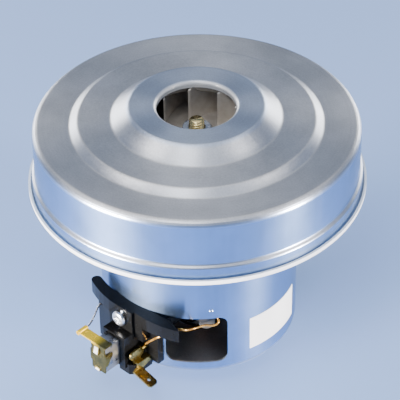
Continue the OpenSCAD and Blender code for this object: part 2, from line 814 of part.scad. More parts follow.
// A moulded frame at one end of the field: plate, walls round the end turns, wire hooks
module coil_frame(z, up, hooks) {
    level = up > 0 ? z : z - frame_t;
    wall_z = up > 0 ? z : z - frame_t - end_turn_h;
    color("dimgray") {
        for (a = [0, 180]) rotate([0, 0, a]) {
            translate([0, 0, level]) linear_extrude(frame_t) difference() {
                ring_sector(yoke_in_r + frame_rim, bore_r + frame_inset, coil_half_angle);
                difference() {
                    ring_sector(yoke_in_r, shoe_r, coil_half_angle + past);
                    translate([can_r / 2, 0]) square([can_r, neck_w], center = true);
                }
            }
            translate([0, 0, wall_z]) linear_extrude(end_turn_h + frame_t) {
                ring_sector(shoe_r, shoe_r - frame_wall_t, inner_wall_half_angle);
                ring_sector(yoke_in_r + frame_wall_t, yoke_in_r, outer_wall_half_angle);
            }
        }
        if (hooks) for (side = [0, 1]) on_side(side) rotate([0, 0, hook_angle]) {
            translate([0, 0, z - frame_t - hook_len + hook_w / 2]) outwards(hook_r - hook_t, hook_r) {
                circle(d = hook_w, $fn = fine);
                translate([-hook_w / 2, 0]) square([hook_w, hook_len - hook_w / 2]);
            }
        }
    }
}

module coil_frame_lower() coil_frame(stack_z, -1, true);
module coil_frame_upper() coil_frame(stack_top_z, 1, false);

// A saddle of copper wire round one pole
module field_coil(a) {
    low_z = stack_z - frame_t - end_turn_h;
    h = stack_len + 2 * (frame_t + end_turn_h);
    c = coil_corner_r;
    color("chocolate") rotate([0, 0, a]) difference() {
        translate([0, 0, low_z]) rotate([0, 0, -coil_half_angle])
            rotate_extrude(angle = 2 * coil_half_angle) translate([(coil_in_r + coil_out_r) / 2, h / 2])
                rounded_rect(coil_out_r - coil_in_r, h, c);
        translate([0, -neck_w / 2 - coil_gap, stack_z - frame_t])
            cube([can_r, neck_w + 2 * coil_gap, stack_len + 2 * frame_t]);
    }
}

module field_coil_left() field_coil(180);
module field_coil_right() field_coil(0);

// The black moulding that carries a brush, seen from the front: collar, panels, sleeve and pocket
module brush_bracket(side, wing) {
    color("#1a1a1c") on_side(side) difference() {
        union() {
            difference() {
                bracket_body(wing);
                translate([0, 0, bracket_base_z - past]) cylinder(r = can_r, h = bracket_h + 2 * past);
            }
            translate([-sleeve_left, -sleeve_reach, brush_z - sleeve_h / 2])
                cube([sleeve_left + sleeve_right, sleeve_reach - sleeve_start_r, sleeve_h]);
            terminal_pocket();
        }
        translate([0, 0, collar_z - past]) linear_extrude(collar_h + 2 * past)
            translate([-panel_w / 2, -panel_y - past]) square([panel_w, past]);
        translate([0, 0, brush_z]) outwards(sleeve_start_r - past, sleeve_reach + past)
            square([slot_w, slot_h], center = true);
        translate([0, 0, screw_z]) outwards(can_r - past, panel_y + past)
            circle(d = screw_hole_d, $fn = small);
    }
}

// Collar, screw panel, the panel to its right and the lower body, before the can is cut from them
module bracket_body(wing) {
    step_w = right_panel_low_end - panel_w / 2;
    translate([0, 0, collar_z]) linear_extrude(collar_h) collar_shape(wing);
    translate([-panel_w / 2, -panel_y, brush_z]) cube([panel_w, panel_depth, bracket_rise]);
    translate([panel_w / 2 - past, -right_panel_y, right_panel_z])
        cube([step_w + past, panel_depth, bracket_top_z - right_panel_z]);
    translate([0, 0, bracket_base_z]) linear_extrude(collar_z - bracket_base_z) base_shape();
    translate([panel_w / 2 - past, -recess_y, base_right_z])
        cube([base_end - panel_w / 2 + past, panel_depth, collar_z - base_right_z]);
}

// The collar from above: a band on the left that narrows to its tip, a tapering arm on the right
module collar_shape(wing) {
    steps = 6;
    tip_in_r = can_r + wing_stand_off;
    tip_r = tip_in_r + wing_tip_t / 2;
    thinning = collar_r - tip_in_r - wing_tip_t;
    polygon([
        for (i = [0:steps]) polar(collar_r - thinning * i / steps, -90 - wing * i / steps),
        for (i = [steps:-1:0])
            polar(can_r + wing_stand_off * max(i - 1, 0) / (steps - 1), -90 - wing * i / steps),
        [0, -can_r + past]
    ]);
    rotate(-90 - wing) translate([tip_r, 0]) circle(d = wing_tip_t, $fn = fine);
    polygon([
        [0, -right_panel_y], [right_panel_end, -right_panel_y], [arm_elbow_x, -can_r - arm_elbow_t],
        [arm_reach - arm_tip_w, -can_r - arm_tip_t], [arm_reach, -can_r], [arm_elbow_x, -can_r + arm_belly],
        [arm_root_x, -can_r + arm_root_t], [0, -can_r + arm_belly]
    ]);
}

// The lower body from above, with its slanted wall on the left
module base_shape() {
    intersection() {
        polygon([
            polar(base_left_r, -90 - base_left_angle), [-panel_w / 2, -right_panel_y],
            [panel_w / 2, -right_panel_y], [panel_w / 2, -base_back_r],
            polar(base_back_r, -90 - base_left_angle)
        ]);
        circle(r = panel_y + past);
    }
}

// The open tray beside the sleeve, where the field's lead meets the terminal
module terminal_pocket() {
    depth = pocket_front_y - pocket_back_y;
    w = pocket_right - pocket_left;
    difference() {
        translate([0, 0, pocket_floor_z]) linear_extrude(pocket_side_z - pocket_floor_z)
            polygon([
                [pocket_left, -pocket_front_y], [pocket_right - pocket_chamfer, -pocket_front_y],
                [pocket_right, -pocket_front_y + pocket_chamfer], [pocket_right, -pocket_back_y],
                [pocket_left, -pocket_back_y]
            ]);
        translate([pocket_left + pocket_wall, -pocket_front_y + pocket_wall, pocket_floor_z + pocket_wall])
            cube([pocket_w, depth, pocket_side_z]);
        translate([pocket_left - past, -pocket_front_y - past, pocket_front_z])
            cube([w + 2 * past, pocket_wall + pocket_chamfer / 2 + past, pocket_side_z]);
        translate([0, 0, pocket_floor_z - past]) cylinder(r = can_r, h = can_r);
    }
}

module brush_bracket_front() brush_bracket(0, wing_angle);
module brush_bracket_rear() brush_bracket(1, rear_wing_angle);

module bracket_screws() {
    shank = panel_y - can_r + screw_bite;
    color("silver") for (side = [0, 1]) on_side(side) translate([0, -panel_y, screw_z]) rotate([90, 0, 0])
        pan_screw(bracket_head_d / 2, bracket_head_h, bracket_screw_d / 2, shank);
}

// The rectangular sheet tube that guides a carbon brush
module brush_tube(side) {
    color("silver") on_side(side) translate([0, 0, brush_z]) outwards(tube_start, tube_reach) difference() {
        square([tube_w, tube_h], center = true);
        square([tube_in_w, tube_in_h], center = true);
    }
}

module brush_tube_front() brush_tube(0);
module brush_tube_rear() brush_tube(1);

// The brass cap that closes the tube: plate, side flanges, tabs, and the strap with its rolled barrel
module brush_cap(side) {
    cap_y = tube_reach + cap_t;
    color("goldenrod") on_side(side) {
        translate([0, 0, brush_z]) outwards(tube_reach, cap_y) cap_outline();
        for (x = [-tube_w / 2 - seat - cap_t, tube_w / 2 + seat])
            translate([x, 0, brush_z]) rotate([90, 0, 90]) linear_extrude(cap_t) flange_outline();
        translate([tab_left, -cap_y, brush_z + cap_h / 2 - tab_h - strap_gap]) rotate([90, 0, 90])
            linear_extrude(tab_w) polygon([[0, 0], [-tab_proud, 0], [0, tab_h]]);
        translate([tab_left, -cap_y, brush_z - cap_h / 2]) rotate([90, 0, 90])
            linear_extrude(tab_w) polygon([[0, 0], [-tab_proud / 2, 0], [0, foot_tab_h]]);
        translate([-strap_len, -cap_y, strap_z]) cube([strap_len + strap_right, strap_w, cap_t]);
        translate([-cap_w / 2, -cap_y, brush_z + cap_h / 2 - past])
            cube([cap_w, cap_t, strap_z - brush_z - cap_h / 2 + past]);
        translate([barrel_x, -cap_y + strap_w + barrel_over, strap_z + cap_t / 2]) rotate([90, 0, 0])
            tube(barrel_r, brush_lead_d / 2, strap_w + 2 * barrel_over);
    }
}

// The cap's plate, with a low ear on each side
module cap_outline() {
    ear_x = cap_w / 2 + cap_ear;
    polygon([
        [-cap_w / 2, -cap_h / 2], [cap_w / 2, -cap_h / 2], [cap_w / 2, -cap_ear_h / 2 - cap_ear],
        [ear_x, -cap_ear_h / 2], [ear_x, cap_ear_h / 2], [cap_w / 2, cap_ear_h / 2 + cap_ear],
        [cap_w / 2, cap_h / 2], [-cap_w / 2, cap_h / 2], [-cap_w / 2, cap_ear_h / 2 + cap_ear],
        [-ear_x, cap_ear_h / 2], [-ear_x, -cap_ear_h / 2], [-cap_w / 2, -cap_ear_h / 2 - cap_ear]
    ]);
}

// A flange that bends back along the tube, deeper at its top
module flange_outline() {
    back_y = cap_flange_depth - tube_reach;
    polygon([
        [-tube_reach - cap_t, -cap_ear_h / 2], [-tube_reach + cap_ear, -cap_ear_h / 2],
        [back_y - cap_ear * 2, 0], [back_y, cap_ear_h / 4], [back_y, cap_ear_h / 2],
        [-tube_reach - cap_t, cap_ear_h / 2]
    ]);
}

module brush_cap_front() brush_cap(0);
module brush_cap_rear() brush_cap(1);

module carbon_brush(side) {
    color("#303033") on_side(side) difference() {
        translate([0, 0, brush_z]) outwards(commutator_r - past, brush_end_r)
            square([brush_w, brush_h], center = true);
        translate([0, 0, brush_z - brush_h]) cylinder(r = brush_tip_r, h = 2 * brush_h);
    }
}

module carbon_brush_front() carbon_brush(0);
module carbon_brush_rear() carbon_brush(1);

// The coil spring between a brush and its cap
module brush_spring(side) {
    wire_r = spring_wire_d / 2;
    start_y = brush_end_r + seat + wire_r;
    len_y = tube_reach - seat - wire_r - start_y;
    helix_r = (spring_d - spring_wire_d) / 2;
    count = spring_turns * spring_steps;
    color("silver") on_side(side) swept_wire(
        [
            for (i = [0:count])
                let (a = 360 * i / spring_steps)
                [helix_r * cos(a), -start_y - len_y * i / count, brush_z + helix_r * sin(a)]
        ],
        wire_r, spring_side_count, [0, 1, 0]
    );
}

module brush_spring_front() brush_spring(0);
module brush_spring_rear() brush_spring(1);

// The flexible copper braid inside the spring
module brush_shunt(side) {
    start_y = brush_end_r + 2 * seat;
    len_y = tube_reach - 2 * seat - start_y;
    color("chocolate") on_side(side) swept_wire(
        [
            for (i = [0:shunt_steps])
                let (a = 180 * i / shunt_steps)
                [shunt_wave * sin(2 * a), -start_y - len_y * i / shunt_steps, brush_z + shunt_wave * sin(a)]
        ],
        shunt_r, spring_side_count
    );
}

module brush_shunt_front() brush_shunt(0);
module brush_shunt_rear() brush_shunt(1);

// The brass terminal: a leg inside the pocket, a fold over its wall, a leg outside, the blade
module terminal(side) {
    leg_w = leg_front_y - leg_back_y;
    fold_w = pocket_wall + 2 * terminal_t;
    inner_low_z = pocket_floor_z + pocket_wall + seat;
    color("goldenrod") on_side(side) {
        translate([pocket_right, 0, 0]) rotate([90, 0, 90]) linear_extrude(terminal_t) polygon([
            [-leg_front_y, pocket_side_z + terminal_t], [-leg_front_y, leg_low_z + 2 * terminal_t],
            [-blade_mid_y - blade_w / 2, leg_low_z + terminal_t], [-blade_mid_y - blade_w / 2, leg_low_z],
            [-blade_mid_y + blade_w / 2, leg_low_z], [-leg_back_y, leg_low_z + 2 * terminal_t],
            [-leg_back_y, pocket_side_z + terminal_t]
        ]);
        translate([inner_leg_x, -leg_front_y, pocket_side_z]) cube([fold_w, leg_w, terminal_t]);
        translate([inner_leg_x, -leg_front_y, inner_low_z])
            cube([terminal_t, leg_w - pocket_wall, pocket_side_z + terminal_t - inner_low_z]);
        translate([inner_leg_x, -plate_mid_y, plate_z]) rotate([90, 0, 90]) linear_extrude(terminal_t) {
            flat_oval(plate_half_len, plate_half_h);
            translate([-plate_half_len / 2, pocket_side_z - plate_z])
                square([plate_half_len, plate_z - pocket_side_z]);
            square([plate_mid_y - crimp_front_y + past, crimp_z - plate_z + crimp_r / 2]);
        }
        translate([inner_leg_x + terminal_t / 2, -leg_back_y, crimp_z]) rotate([90, 0, 0])
            tube(crimp_r, field_lead_d / 2, crimp_front_y - leg_back_y);
        translate([pocket_right, -blade_mid_y, leg_low_z]) rotate([0, terminal_slope, 0]) push_on_blade();
    }
}

module push_on_blade() {
    difference() {
        linear_extrude(terminal_t) polygon([
            [0, -blade_w / 2], [terminal_len - blade_chamfer, -blade_w / 2],
            [terminal_len, -blade_w / 2 + blade_chamfer], [terminal_len, blade_w / 2 - blade_chamfer],
            [terminal_len - blade_chamfer, blade_w / 2], [0, blade_w / 2]
        ]);
        translate([terminal_len * blade_hole_place, 0, -past])
            cylinder(d = blade_hole_d, h = terminal_t + 2 * past, $fn = small);
    }
}

// An oval made of two half circles and a square
module flat_oval(half_len, half_h) {
    square([2 * (half_len - half_h), 2 * half_h], center = true);
    for (x = [-1, 1]) translate([x * (half_len - half_h), 0]) circle(r = half_h, $fn = fine);
}

module terminal_front() terminal(0);
module terminal_rear() terminal(1);

// The copper wire from a field coil's hook, round the arm's tip, to the terminal
module field_lead(side) {
    color("peru") on_side(side) translate([0, -can_r, brush_z])
        swept_wire(smoothed(field_route), field_lead_d / 2);
}

module field_lead_front() field_lead(0);
module field_lead_rear() field_lead(1);

// The tinned lead from the barrel at the strap's end to the bracket
module brush_lead(side) {
    reach = tube_reach - can_r;
    color("silver") on_side(side) translate([0, -can_r, brush_z])
        swept_wire(smoothed([for (p = brush_route) [p[0], -p[1] * reach, p[2]]]), brush_lead_d / 2);
}

module brush_lead_front() brush_lead(0);
module brush_lead_rear() brush_lead(1);

// The shaft, with the thread for the impeller nut at its top
module shaft() {
    r = bearing_bore_r;
    color("gainsboro") rotate_extrude() polygon([
        [0, shaft_z], [r - shaft_chamfer, shaft_z], [r, shaft_z + shaft_chamfer], [r, back_plate_z],
        [stud_d / 2, back_plate_z], [stud_d / 2, stud_top_z - shaft_chamfer],
        [stud_d / 2 - shaft_chamfer, stud_top_z], [0, stud_top_z]
    ]);
}

module impeller_spacer() {
    color("silver") translate([0, 0, front_bearing_top_z])
        tube(spacer_r, bearing_bore_r, back_plate_z - front_bearing_top_z);
}

module impeller_back_plate() {
    color("silver") translate([0, 0, back_plate_z]) tube(impeller_r, stud_d / 2, impeller_sheet);
}

// The shroud's upper face, from the eye to the outer edge
function shroud_face() = rounded(
    [
        [shroud_r, eye_top_z], [shroud_r, lip_bottom_z - 2.7],
        [shroud_r + shroud_w * 0.36, shroud_top_z + 5.2], [shroud_r + shroud_w * 0.71, shroud_top_z + 2.6],
        [impeller_r, shroud_top_z + impeller_sheet]
    ],
    [1.8, 12, 12]
);

module impeller_front_plate() {
    color("silver") spun_sheet(shroud_face(), -impeller_sheet);
}

// One edge of a blade: a spiral that leans back by the same angle all the way out
function blade_line(side) = [
    for (i = [0:blade_steps])
        let (
            r = blade_start_r * pow((impeller_r + past) / blade_start_r, i / blade_steps),
            a = -ln(r / blade_start_r) / tan(blade_lean) * 180 / PI
        )
        polar(r, a + side * blade_t / r * 90 / PI / sin(blade_lean))
];

module impeller_blades() {
    under = inset(shroud_face(), -impeller_sheet);
    inner_r = blade_start_r - past;
    color("silver") intersection() {
        translate([0, 0, blade_z]) linear_extrude(cover_h) for (i = [0:blade_count - 1])
            rotate(360 / blade_count * i + blade_phase)
                polygon(concat(blade_line(-1), reversed(blade_line(1))));
        rotate_extrude() polygon(concat(
            [[inner_r, blade_z], [inner_r, under[1][1]]], [for (p = under) if (p[1] <= under[1][1]) p],
            [[impeller_r, blade_z]]
        ));
    }
}

module impeller_hub() {
    color("silver") translate([0, 0, blade_z]) tube(hub_d / 2, stud_d / 2, hub_t);
}

// A hexagon nut with the round chamfer on its top corners
module impeller_nut() {
    corner_r = nut_w / 2 / cos(30);
    chamfer_h = (corner_r - nut_w / 2) * 0.8;
    color("lightsteelblue") translate([0, 0, hub_top_z]) difference() {
        intersection() {
            cylinder(r = corner_r, h = nut_h, $fn = 6);
            rotate_extrude() polygon([
                [0, 0], [corner_r, 0], [corner_r, nut_h - chamfer_h], [nut_w / 2 - seat, nut_h], [0, nut_h]
            ]);
        }
        translate([0, 0, -past]) cylinder(d = stud_d, h = nut_h + 2 * past);
    }
}

module armature_core() {
    color("slategray") translate([0, 0, stack_z]) linear_extrude(stack_len) difference() {
        circle(r = armature_r);
        circle(r = bearing_bore_r);
        for (i = [0:slot_count - 1]) rotate(360 / slot_count * i) {
            translate([slot_r, 0]) circle(d = slot_d, $fn = small);
            translate([slot_r, -slot_mouth / 2]) square([armature_r, slot_mouth]);
        }
    }
}

// The armature's copper: rounded end turns at both ends, and the wire in the slots
module armature_winding() {
    w = winding_out_r - winding_in_r;
    color("chocolate") {
        for (z = [stack_z - winding_h, stack_top_z]) translate([0, 0, z]) rotate_extrude()
            translate([winding_in_r + w / 2, winding_h / 2]) rounded_rect(w, winding_h, winding_h * 0.4);
        translate([0, 0, stack_z - past]) linear_extrude(stack_len + 2 * past)
            for (i = [0:slot_count - 1]) rotate(360 / slot_count * i)
                translate([slot_r, 0]) circle(d = slot_d - 2 * wire_slot_gap, $fn = small);
    }
}

module commutator_hub() {
    color("saddlebrown") translate([0, 0, commutator_z - past])
        tube(bar_in_r, bearing_bore_r, commutator_top_z - commutator_z + past);
}

// The copper bars of the commutator, each with its riser
module commutator_bars() {
    color("peru") difference() {
        translate([0, 0, commutator_z]) {
            tube(commutator_r, bar_in_r, commutator_len + riser_h);
            translate([0, 0, commutator_len]) tube(riser_r, bar_in_r, riser_h);
        }
        for (i = [0:slot_count - 1]) rotate([0, 0, 360 / slot_count * (i + 0.5)])
            translate([0, -bar_cut / 2, commutator_z - past])
                cube([riser_r + past, bar_cut, commutator_top_z - commutator_z + 2 * past]);
    }
}

fan_cover();
motor_can();
rating_label();
bearing_bridge();
bridge_screws();
diffuser();
front_bearing_outer();
rear_bearing_outer();
front_bearing_shields();
rear_bearing_shields();
preload_washer();
field_core();
coil_frame_lower();
coil_frame_upper();
field_coil_left();
field_coil_right();
brush_bracket_front();
brush_bracket_rear();
bracket_screws();
brush_tube_front();
brush_tube_rear();
brush_cap_front();
brush_cap_rear();
brush_spring_front();
brush_spring_rear();
brush_shunt_front();
brush_shunt_rear();
terminal_front();
terminal_rear();
field_lead_front();
field_lead_rear();
brush_lead_front();
brush_lead_rear();
carbon_brush_front();
carbon_brush_rear();
shaft();
front_bearing_inner();
rear_bearing_inner();
front_bearing_balls();
rear_bearing_balls();
impeller_spacer();
impeller_back_plate();
impeller_blades();
impeller_front_plate();
impeller_hub();
impeller_nut();
armature_core();
armature_winding();
commutator_hub();
commutator_bars();
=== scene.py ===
import math
import bpy
from mathutils import Matrix, Vector


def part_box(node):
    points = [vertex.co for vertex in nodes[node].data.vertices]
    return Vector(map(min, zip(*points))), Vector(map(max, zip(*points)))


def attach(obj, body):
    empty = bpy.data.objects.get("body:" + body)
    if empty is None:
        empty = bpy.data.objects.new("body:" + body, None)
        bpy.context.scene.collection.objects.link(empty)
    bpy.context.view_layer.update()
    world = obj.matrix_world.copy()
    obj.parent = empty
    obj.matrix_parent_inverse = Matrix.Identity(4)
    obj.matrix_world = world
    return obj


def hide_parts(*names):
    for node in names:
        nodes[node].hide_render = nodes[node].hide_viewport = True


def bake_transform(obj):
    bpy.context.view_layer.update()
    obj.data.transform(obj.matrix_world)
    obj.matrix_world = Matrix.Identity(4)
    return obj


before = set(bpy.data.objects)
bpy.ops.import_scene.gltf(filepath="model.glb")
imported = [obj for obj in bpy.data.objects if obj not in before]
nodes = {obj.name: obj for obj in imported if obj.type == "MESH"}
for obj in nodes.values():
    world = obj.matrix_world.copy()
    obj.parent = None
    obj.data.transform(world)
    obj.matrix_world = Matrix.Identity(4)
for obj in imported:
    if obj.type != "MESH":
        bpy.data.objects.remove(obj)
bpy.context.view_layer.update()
sideNames = ("front", "rear")      # the rear set is the front one turned half round
print("frame loaded:", len(nodes), "nodes")

# camera: where the photograph was taken from, in degrees and metres
camera = {
    "azimuth": 43.8,
    "elevation": 37.66,
    "roll": -0.84,
    "distance": 0.7442,
    "lensPixels": 1849.4,      # focal length, for a frame that is 400 pixels wide
    "framePixels": 400,
    "sensor": 36.0,
    "aimHeight": 0.0793,       # underside of the flange
    "offset": (-0.0010, 0.00912),
    "clip": (0.02, 20),
}


def makeCamera(look):
    tilt = math.radians(look["elevation"])
    roll = math.radians(look["roll"])
    ahead = Vector((0, math.cos(tilt), -math.sin(tilt)))
    side = Vector((1, 0, 0))
    above = side.cross(ahead)
    right = side * math.cos(roll) + above * math.sin(roll)
    up = above * math.cos(roll) - side * math.sin(roll)
    stand = -(right * look["offset"][0] + up * look["offset"][1] + ahead * look["distance"])
    turn = Matrix.Rotation(math.radians(look["azimuth"]), 3, "Z")
    axes = Matrix((turn @ right, turn @ up, -(turn @ ahead))).transposed()
    cam = bpy.data.objects.new("camera", bpy.data.cameras.new("camera"))
    bpy.context.scene.collection.objects.link(cam)
    aim = Vector((0, 0, look["aimHeight"]))
    cam.matrix_world = Matrix.Translation(turn @ stand + aim) @ axes.to_4x4()
    cam.data.sensor_width = look["sensor"]
    cam.data.lens = look["lensPixels"] / look["framePixels"] * look["sensor"]
    cam.data.clip_start, cam.data.clip_end = look["clip"]
    bpy.context.scene.camera = cam


makeCamera(camera)
print("camera placed")

# shading helpers: each adds one node or two and hands back the output
noiseEnds = (0.3, 0.7)      # nearly all of a noise lies between these


def startMaterial(name, settings):
    material = bpy.data.materials.new(name)
    material.use_nodes = True
    tree = material.node_tree
    tree.nodes.clear()
    skin = tree.nodes.new("ShaderNodeBsdfPrincipled")
    out = tree.nodes.new("ShaderNodeOutputMaterial")
    tree.links.new(skin.outputs[0], out.inputs[0])
    for socket, value in settings.items():
        skin.inputs[socket].default_value = value
    return material, tree, skin


def feed(tree, node, socket, value):
    if isinstance(value, bpy.types.NodeSocket):
        tree.links.new(value, node.inputs[socket])
    else:
        node.inputs[socket].default_value = value


def objectPoint(tree):
    return tree.nodes.new("ShaderNodeTexCoord").outputs["Object"]


def splitAxes(tree, vector):
    node = tree.nodes.new("ShaderNodeSeparateXYZ")
    tree.links.new(vector, node.inputs[0])
    return node.outputs


def stretch(tree, point, scale):
    node = tree.nodes.new("ShaderNodeMapping")
    feed(tree, node, "Vector", point)
    node.inputs["Scale"].default_value = scale
    return node.outputs[0]


def grain(tree, point, scale, detail=3.0, roughness=0.55):
    node = tree.nodes.new("ShaderNodeTexNoise")
    feed(tree, node, "Vector", point)
    node.inputs["Scale"].default_value = scale
    node.inputs["Detail"].default_value = detail
    node.inputs["Roughness"].default_value = roughness
    return node.outputs["Fac"]


def ramp(tree, value, dark, light, ends=noiseEnds):
    node = tree.nodes.new("ShaderNodeValToRGB")
    feed(tree, node, "Fac", value)
    for element, at, color in zip(node.color_ramp.elements, ends, (dark, light)):
        element.position = at
        element.color = (*color, 1)
    return node.outputs["Color"]


def span(tree, value, low, high, fromLow=0.0, fromHigh=1.0):
    node = tree.nodes.new("ShaderNodeMapRange")
    feed(tree, node, "Value", value)
    node.inputs["From Min"].default_value = fromLow
    node.inputs["From Max"].default_value = fromHigh
    node.inputs["To Min"].default_value = low
    node.inputs["To Max"].default_value = high
    return node.outputs["Result"]


def maths(tree, operation, a, b=0.0):
    node = tree.nodes.new("ShaderNodeMath")
    node.operation = operation
    feed(tree, node, 0, a)
    feed(tree, node, 1, b)
    return node.outputs[0]


def blendColor(tree, amount, a, b, mode="MIX"):
    node = tree.nodes.new("ShaderNodeMix")
    node.data_type = "RGBA"
    node.blend_type = mode
    feed(tree, node, "Factor", amount)
    for socket, color in ((6, a), (7, b)):      # the node's two colour inputs
        feed(tree, node, socket, color if isinstance(color, bpy.types.NodeSocket) else (*color, 1))
    return node.outputs[2]


def relief(tree, height, strength, depth, under=None):
    node = tree.nodes.new("ShaderNodeBump")
    feed(tree, node, "Height", height)
    node.inputs["Strength"].default_value = strength
    node.inputs["Distance"].default_value = depth
    if under is not None:
        tree.links.new(under, node.inputs["Normal"])
    return node.outputs[0]


# distance from the motor's axis
def axisRadius(tree, point):
    flat = stretch(tree, point, (1, 1, 0))
    node = tree.nodes.new("ShaderNodeVectorMath")
    node.operation = "LENGTH"
    tree.links.new(flat, node.inputs[0])
    return node.outputs["Value"]


def asPoint(tree, value):
    node = tree.nodes.new("ShaderNodeCombineXYZ")
    feed(tree, node, "X", value)
    return node.outputs[0]


# galvanised sheet: faint spangle, spin rings on flat faces, draw streaks on walls; painted reflection on the
# walls and plateau, painted highlight on the rim and lip
steelLook = {
    "skin": {"Metallic": 1.0, "Roughness": 0.34, "Anisotropic": 0.65, "Anisotropic Rotation": 0.25},
    "dark": (0.50, 0.51, 0.52),
    "light": (0.78, 0.79, 0.80),
    "toneEnds": (0.25, 0.75),
    "floorReflectionTint": (0.45, 0.64, 1.0),          # painted reflection: drawn walls get a bluer colour than the flat faces, for the blue floor they reflect
    # painted reflection: the top plateau gets a bluer colour
    "plateauReflectionTint": (0.80, 0.89, 1.03),
    "edgeHighlightColor": (0.93, 0.93, 0.92),        # painted highlight: rolled rim and inlet lip turned near white
    "edgeHighlightMetallic": 0.25,
    # noises: scale, detail and, for the speckle, roughness
    "rings": (900, 2.0),
    "draws": (420, 3.0),
    "speckle": (1400, 2.0, 0.7),
    "clouds": (45, 3.0),
    "waves": (60, 1.0),
    "drawSquash": 0.05,
    "cloudShare": 0.8,
    "lineShare": 0.18,
    "wallSpangle": 0.06,
    "flatSpangle": 0.5,
    "flatness": (0.2, 0.8),
    "wallRoughness": -0.08,
    "flatRoughness": 0.10,
    "grainRoughness": 0.3,
    # bumps: strength, and depth in metres
    "wavesBump": (0.10, 0.0012),
    "grainBump": (0.06, 0.0002),
    "linesBump": (0.03, 0.0002),
    # where a mask starts and is full, in metres
    "plateauHeight": (0.1138, 0.1147),
    "rimRadius": (0.0664, 0.0669),
    "lipRadius": (0.0160, 0.0170),
    "lipHeight": (0.1115, 0.1120),
}


def sheetSteel(name, look):
    material, tree, skin = startMaterial(name, look["skin"])
    point = objectPoint(tree)
    away = axisRadius(tree, point)
    level = splitAxes(tree, point)["Z"]
    normal = tree.nodes.new("ShaderNodeTexCoord").outputs["Normal"]
    flatness = maths(tree, "ABSOLUTE", splitAxes(tree, normal)["Z"])
    rings = grain(tree, asPoint(tree, away), *look["rings"])
    draws = grain(tree, stretch(tree, point, (1, 1, look["drawSquash"])), *look["draws"])
    lines = blendColor(tree, flatness, draws, rings)
    speckle = maths(tree, "SUBTRACT", grain(tree, point, *look["speckle"]), 0.5)
    flat = span(tree, flatness, 0, 1, *look["flatness"])
    grainy = maths(tree, "MULTIPLY", speckle, span(tree, flat, look["wallSpangle"], look["flatSpangle"]))
    clouds = maths(tree, "MULTIPLY", grain(tree, point, *look["clouds"]), look["cloudShare"])
    tone = maths(tree, "ADD", clouds, grainy)
    tone = maths(tree, "ADD", tone, maths(tree, "MULTIPLY", lines, look["lineShare"]))
    color = ramp(tree, tone, look["dark"], look["light"], look["toneEnds"])
    # painted reflection: the steeper the face, the bluer its colour
    tint = blendColor(tree, flatness, look["floorReflectionTint"], (1, 1, 1))
    paintedReflectionTone = blendColor(tree, 1.0, color, tint, "MULTIPLY")
    # painted reflection: bluer colour on the plateau
    plateau = span(tree, level, 0, 1, *look["plateauHeight"])
    plateauReflectionTone = blendColor(tree, 1.0, paintedReflectionTone, look["plateauReflectionTint"], "MULTIPLY")
    paintedReflectionTone = blendColor(tree, plateau, paintedReflectionTone, plateauReflectionTone)
    # painted highlight: near-white, less metallic colour on the rolled rim and the inlet lip
    rim = span(tree, away, 0, 1, *look["rimRadius"])
    nearEye = span(tree, away, 1, 0, *look["lipRadius"])
    lip = maths(tree, "MULTIPLY", nearEye, span(tree, level, 0, 1, *look["lipHeight"]))
    wearAndHighlight = maths(tree, "MAXIMUM", rim, lip)
    tree.links.new(blendColor(tree, wearAndHighlight, paintedReflectionTone, look["edgeHighlightColor"]), skin.inputs["Base Color"])
    tree.links.new(span(tree, wearAndHighlight, 1.0, look["edgeHighlightMetallic"]), skin.inputs["Metallic"])
    middle = look["skin"]["Roughness"]
    smooth = span(tree, flatness, middle + look["wallRoughness"], middle + look["flatRoughness"])
    rough = maths(tree, "ADD", smooth, maths(tree, "MULTIPLY", grainy, look["grainRoughness"]))
    tree.links.new(rough, skin.inputs["Roughness"])
    waves = relief(tree, grain(tree, point, *look["waves"]), *look["wavesBump"])
    fine = relief(tree, grainy, *look["grainBump"], waves)
    tree.links.new(relief(tree, lines, *look["linesBump"], fine), skin.inputs["Normal"])
    brushed = tree.nodes.new("ShaderNodeTangent")      # the brushing runs round the axis
    brushed.direction_type = "RADIAL"
    brushed.axis = "Z"
    tree.links.new(brushed.outputs[0], skin.inputs["Tangent"])
    return material


# rolled brass: bright gold along the strap, olive on the plate, and a painted reflection turning the tabs
# near white
strapLook = {
    "skin": {"Metallic": 1.0, "Roughness": 0.24},
    "olive": (0.27, 0.20, 0.05),
    "brown": (0.15, 0.11, 0.03),
    "gold": (0.95, 0.60, 0.02),
    # painted reflection: the tabs' near-white colour
    "tabReflectionColor": (0.92, 0.90, 0.84),
    "brightMetallic": 0.62,
    "patchScale": 260,
    "fineScale": 900,
    "wear": (-0.06, 0.08),
    "bump": (0.06, 0.0001),
    # where a mask starts and is full, in metres
    "goldReach": (-0.0015, 0.0035),
    "endReach": (0.0055, 0.0065),
    "tabFace": 0.05955,
    "tabTop": 0.0272,
    "tabMiddle": 0.0006,
    "tabHalf": 0.0010,
    "maskEdge": 0.0001,
}


